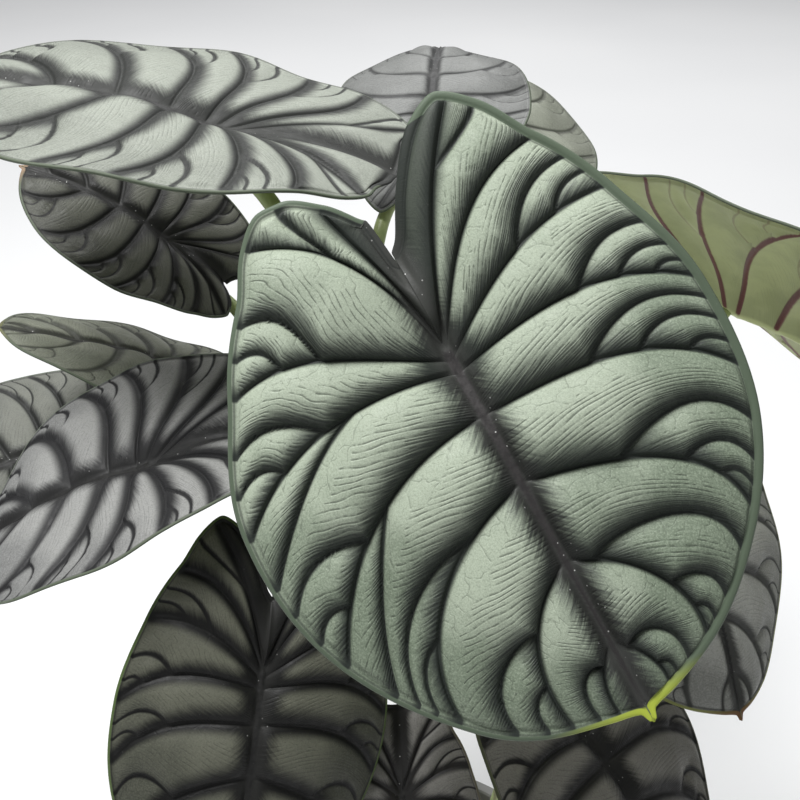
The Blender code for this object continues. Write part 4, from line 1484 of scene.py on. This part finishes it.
def drain_drill():
    """The pins that cut the drain holes, as one object."""
    built = bmesh.new()
    for hole in range(DRAIN_HOLES):
        turn = 2 * math.pi * hole / DRAIN_HOLES
        centre = DRAIN_RING * math.cos(turn), DRAIN_RING * math.sin(turn), POT_FLOOR / 2
        bmesh.ops.create_cone(built, cap_ends=True, segments=HOLE_SEGMENTS,
                              radius1=DRAIN_RADIUS, radius2=DRAIN_RADIUS,
                              depth=POT_FLOOR + 4 * MM, matrix=Matrix.Translation(centre))
    return link_object("drain_drill", mesh_of("drain_drill", built))


rim_low = POT_HEIGHT - RIM_HEIGHT
rim_radius = POT_TOP_RADIUS + RIM_STEP
inner_top = POT_TOP_RADIUS - POT_WALL
pot_profile = (
    (0, 0),
    (POT_BASE_RADIUS - 3 * MM, 0),
    (POT_BASE_RADIUS - 0.8 * MM, 0),
    (POT_BASE_RADIUS, 0.8 * MM),
    (POT_TOP_RADIUS - 0.4 * MM, rim_low),
    (rim_radius - 0.8 * MM, rim_low + 0.4 * MM),
    (rim_radius, rim_low + 1.6 * MM),
    (rim_radius + 0.6 * MM, POT_HEIGHT - 0.8 * MM),
    (rim_radius, POT_HEIGHT),
    (inner_top + INNER_BEVEL, POT_HEIGHT),
    (inner_top, POT_HEIGHT - INNER_BEVEL),
    (POT_BASE_RADIUS - POT_WALL, POT_FLOOR),
    (0, POT_FLOOR),
)
drill = drain_drill()
turned = link_object("turned_pot", lathe("turned_pot", pot_profile, POT_SEGMENTS))
bite = turned.modifiers.new("drain_holes", "BOOLEAN")
bite.operation = "DIFFERENCE"
bite.object = drill
soften = turned.modifiers.new("soft_corners", "BEVEL")
soften.width = CORNER_WIDTH
soften.segments = 3
soften.limit_method = "ANGLE"
soften.angle_limit = math.radians(CORNER_ANGLE)
pot_data = mesh_from("grower_pot", turned)
bpy.data.objects.remove(drill)
add_piece("grower_pot", pot_data, "pot", [pot_finish()], "pot")
pot_data.set_sharp_from_angle(angle=math.radians(SHARP_ANGLE))
print("pot faces:", len(pot_data.polygons))

# %% [markdown]
# The setting is a plain pale floor. One soft round light stands high above and to the left, so
# that every cushion has a bright side and a dark one; a point light would draw hard edges, and an
# even surround alone would leave the relief flat. A second, wider light brightens the floor far
# behind the plant, and a faint surround fills the shadows.

# %% Floor and light
FLOOR_SIZE, FLOOR_SQUARES = 12, 24
SURROUND_COLOUR, SURROUND_STRENGTH = (0.97, 0.98, 1.0, 1), 0.3


def floor_finish():
    recipe = Recipe("pale_floor", 0.9, 0.1)
    cloud = recipe.between(recipe.noise(recipe.place(), 1.2, 2.0), 0.3, 0.7)
    return recipe.finish(recipe.mix(cloud, (0.80, 0.805, 0.81), (0.84, 0.843, 0.845)))


def add_light(name, place, target, size, power):
    data = bpy.data.lights.new(name, "AREA")
    data.shape = "DISK"
    data.size = size
    data.energy = power
    way = (Vector(target) - Vector(place)).to_track_quat("-Z", "Y")
    lamp = link_object(name, data)
    lamp.matrix_world = Matrix.Translation(place) @ way.to_matrix().to_4x4()


sheet = bmesh.new()
bmesh.ops.create_grid(sheet, x_segments=FLOOR_SQUARES, y_segments=FLOOR_SQUARES, size=FLOOR_SIZE)
floor = link_object("floor", mesh_of("floor", sheet))
floor.data.materials.append(floor_finish())
add_light("overhead", (-0.42, -0.12, 1.55), (0, -0.03, 0.35), 0.6, 23)
add_light("backdrop", (0.1, 1.9, 2.3), (0.1, 1.9, 0), 2.4, 44)
surround = bpy.data.worlds.new("surround")
surround.use_nodes = True
background = surround.node_tree.nodes["Background"]
background.inputs["Color"].default_value = SURROUND_COLOUR
background.inputs["Strength"].default_value = SURROUND_STRENGTH
scene.world = surround
scene.view_settings.view_transform = "Standard"
print("lights:", [light.name for light in bpy.data.lights])
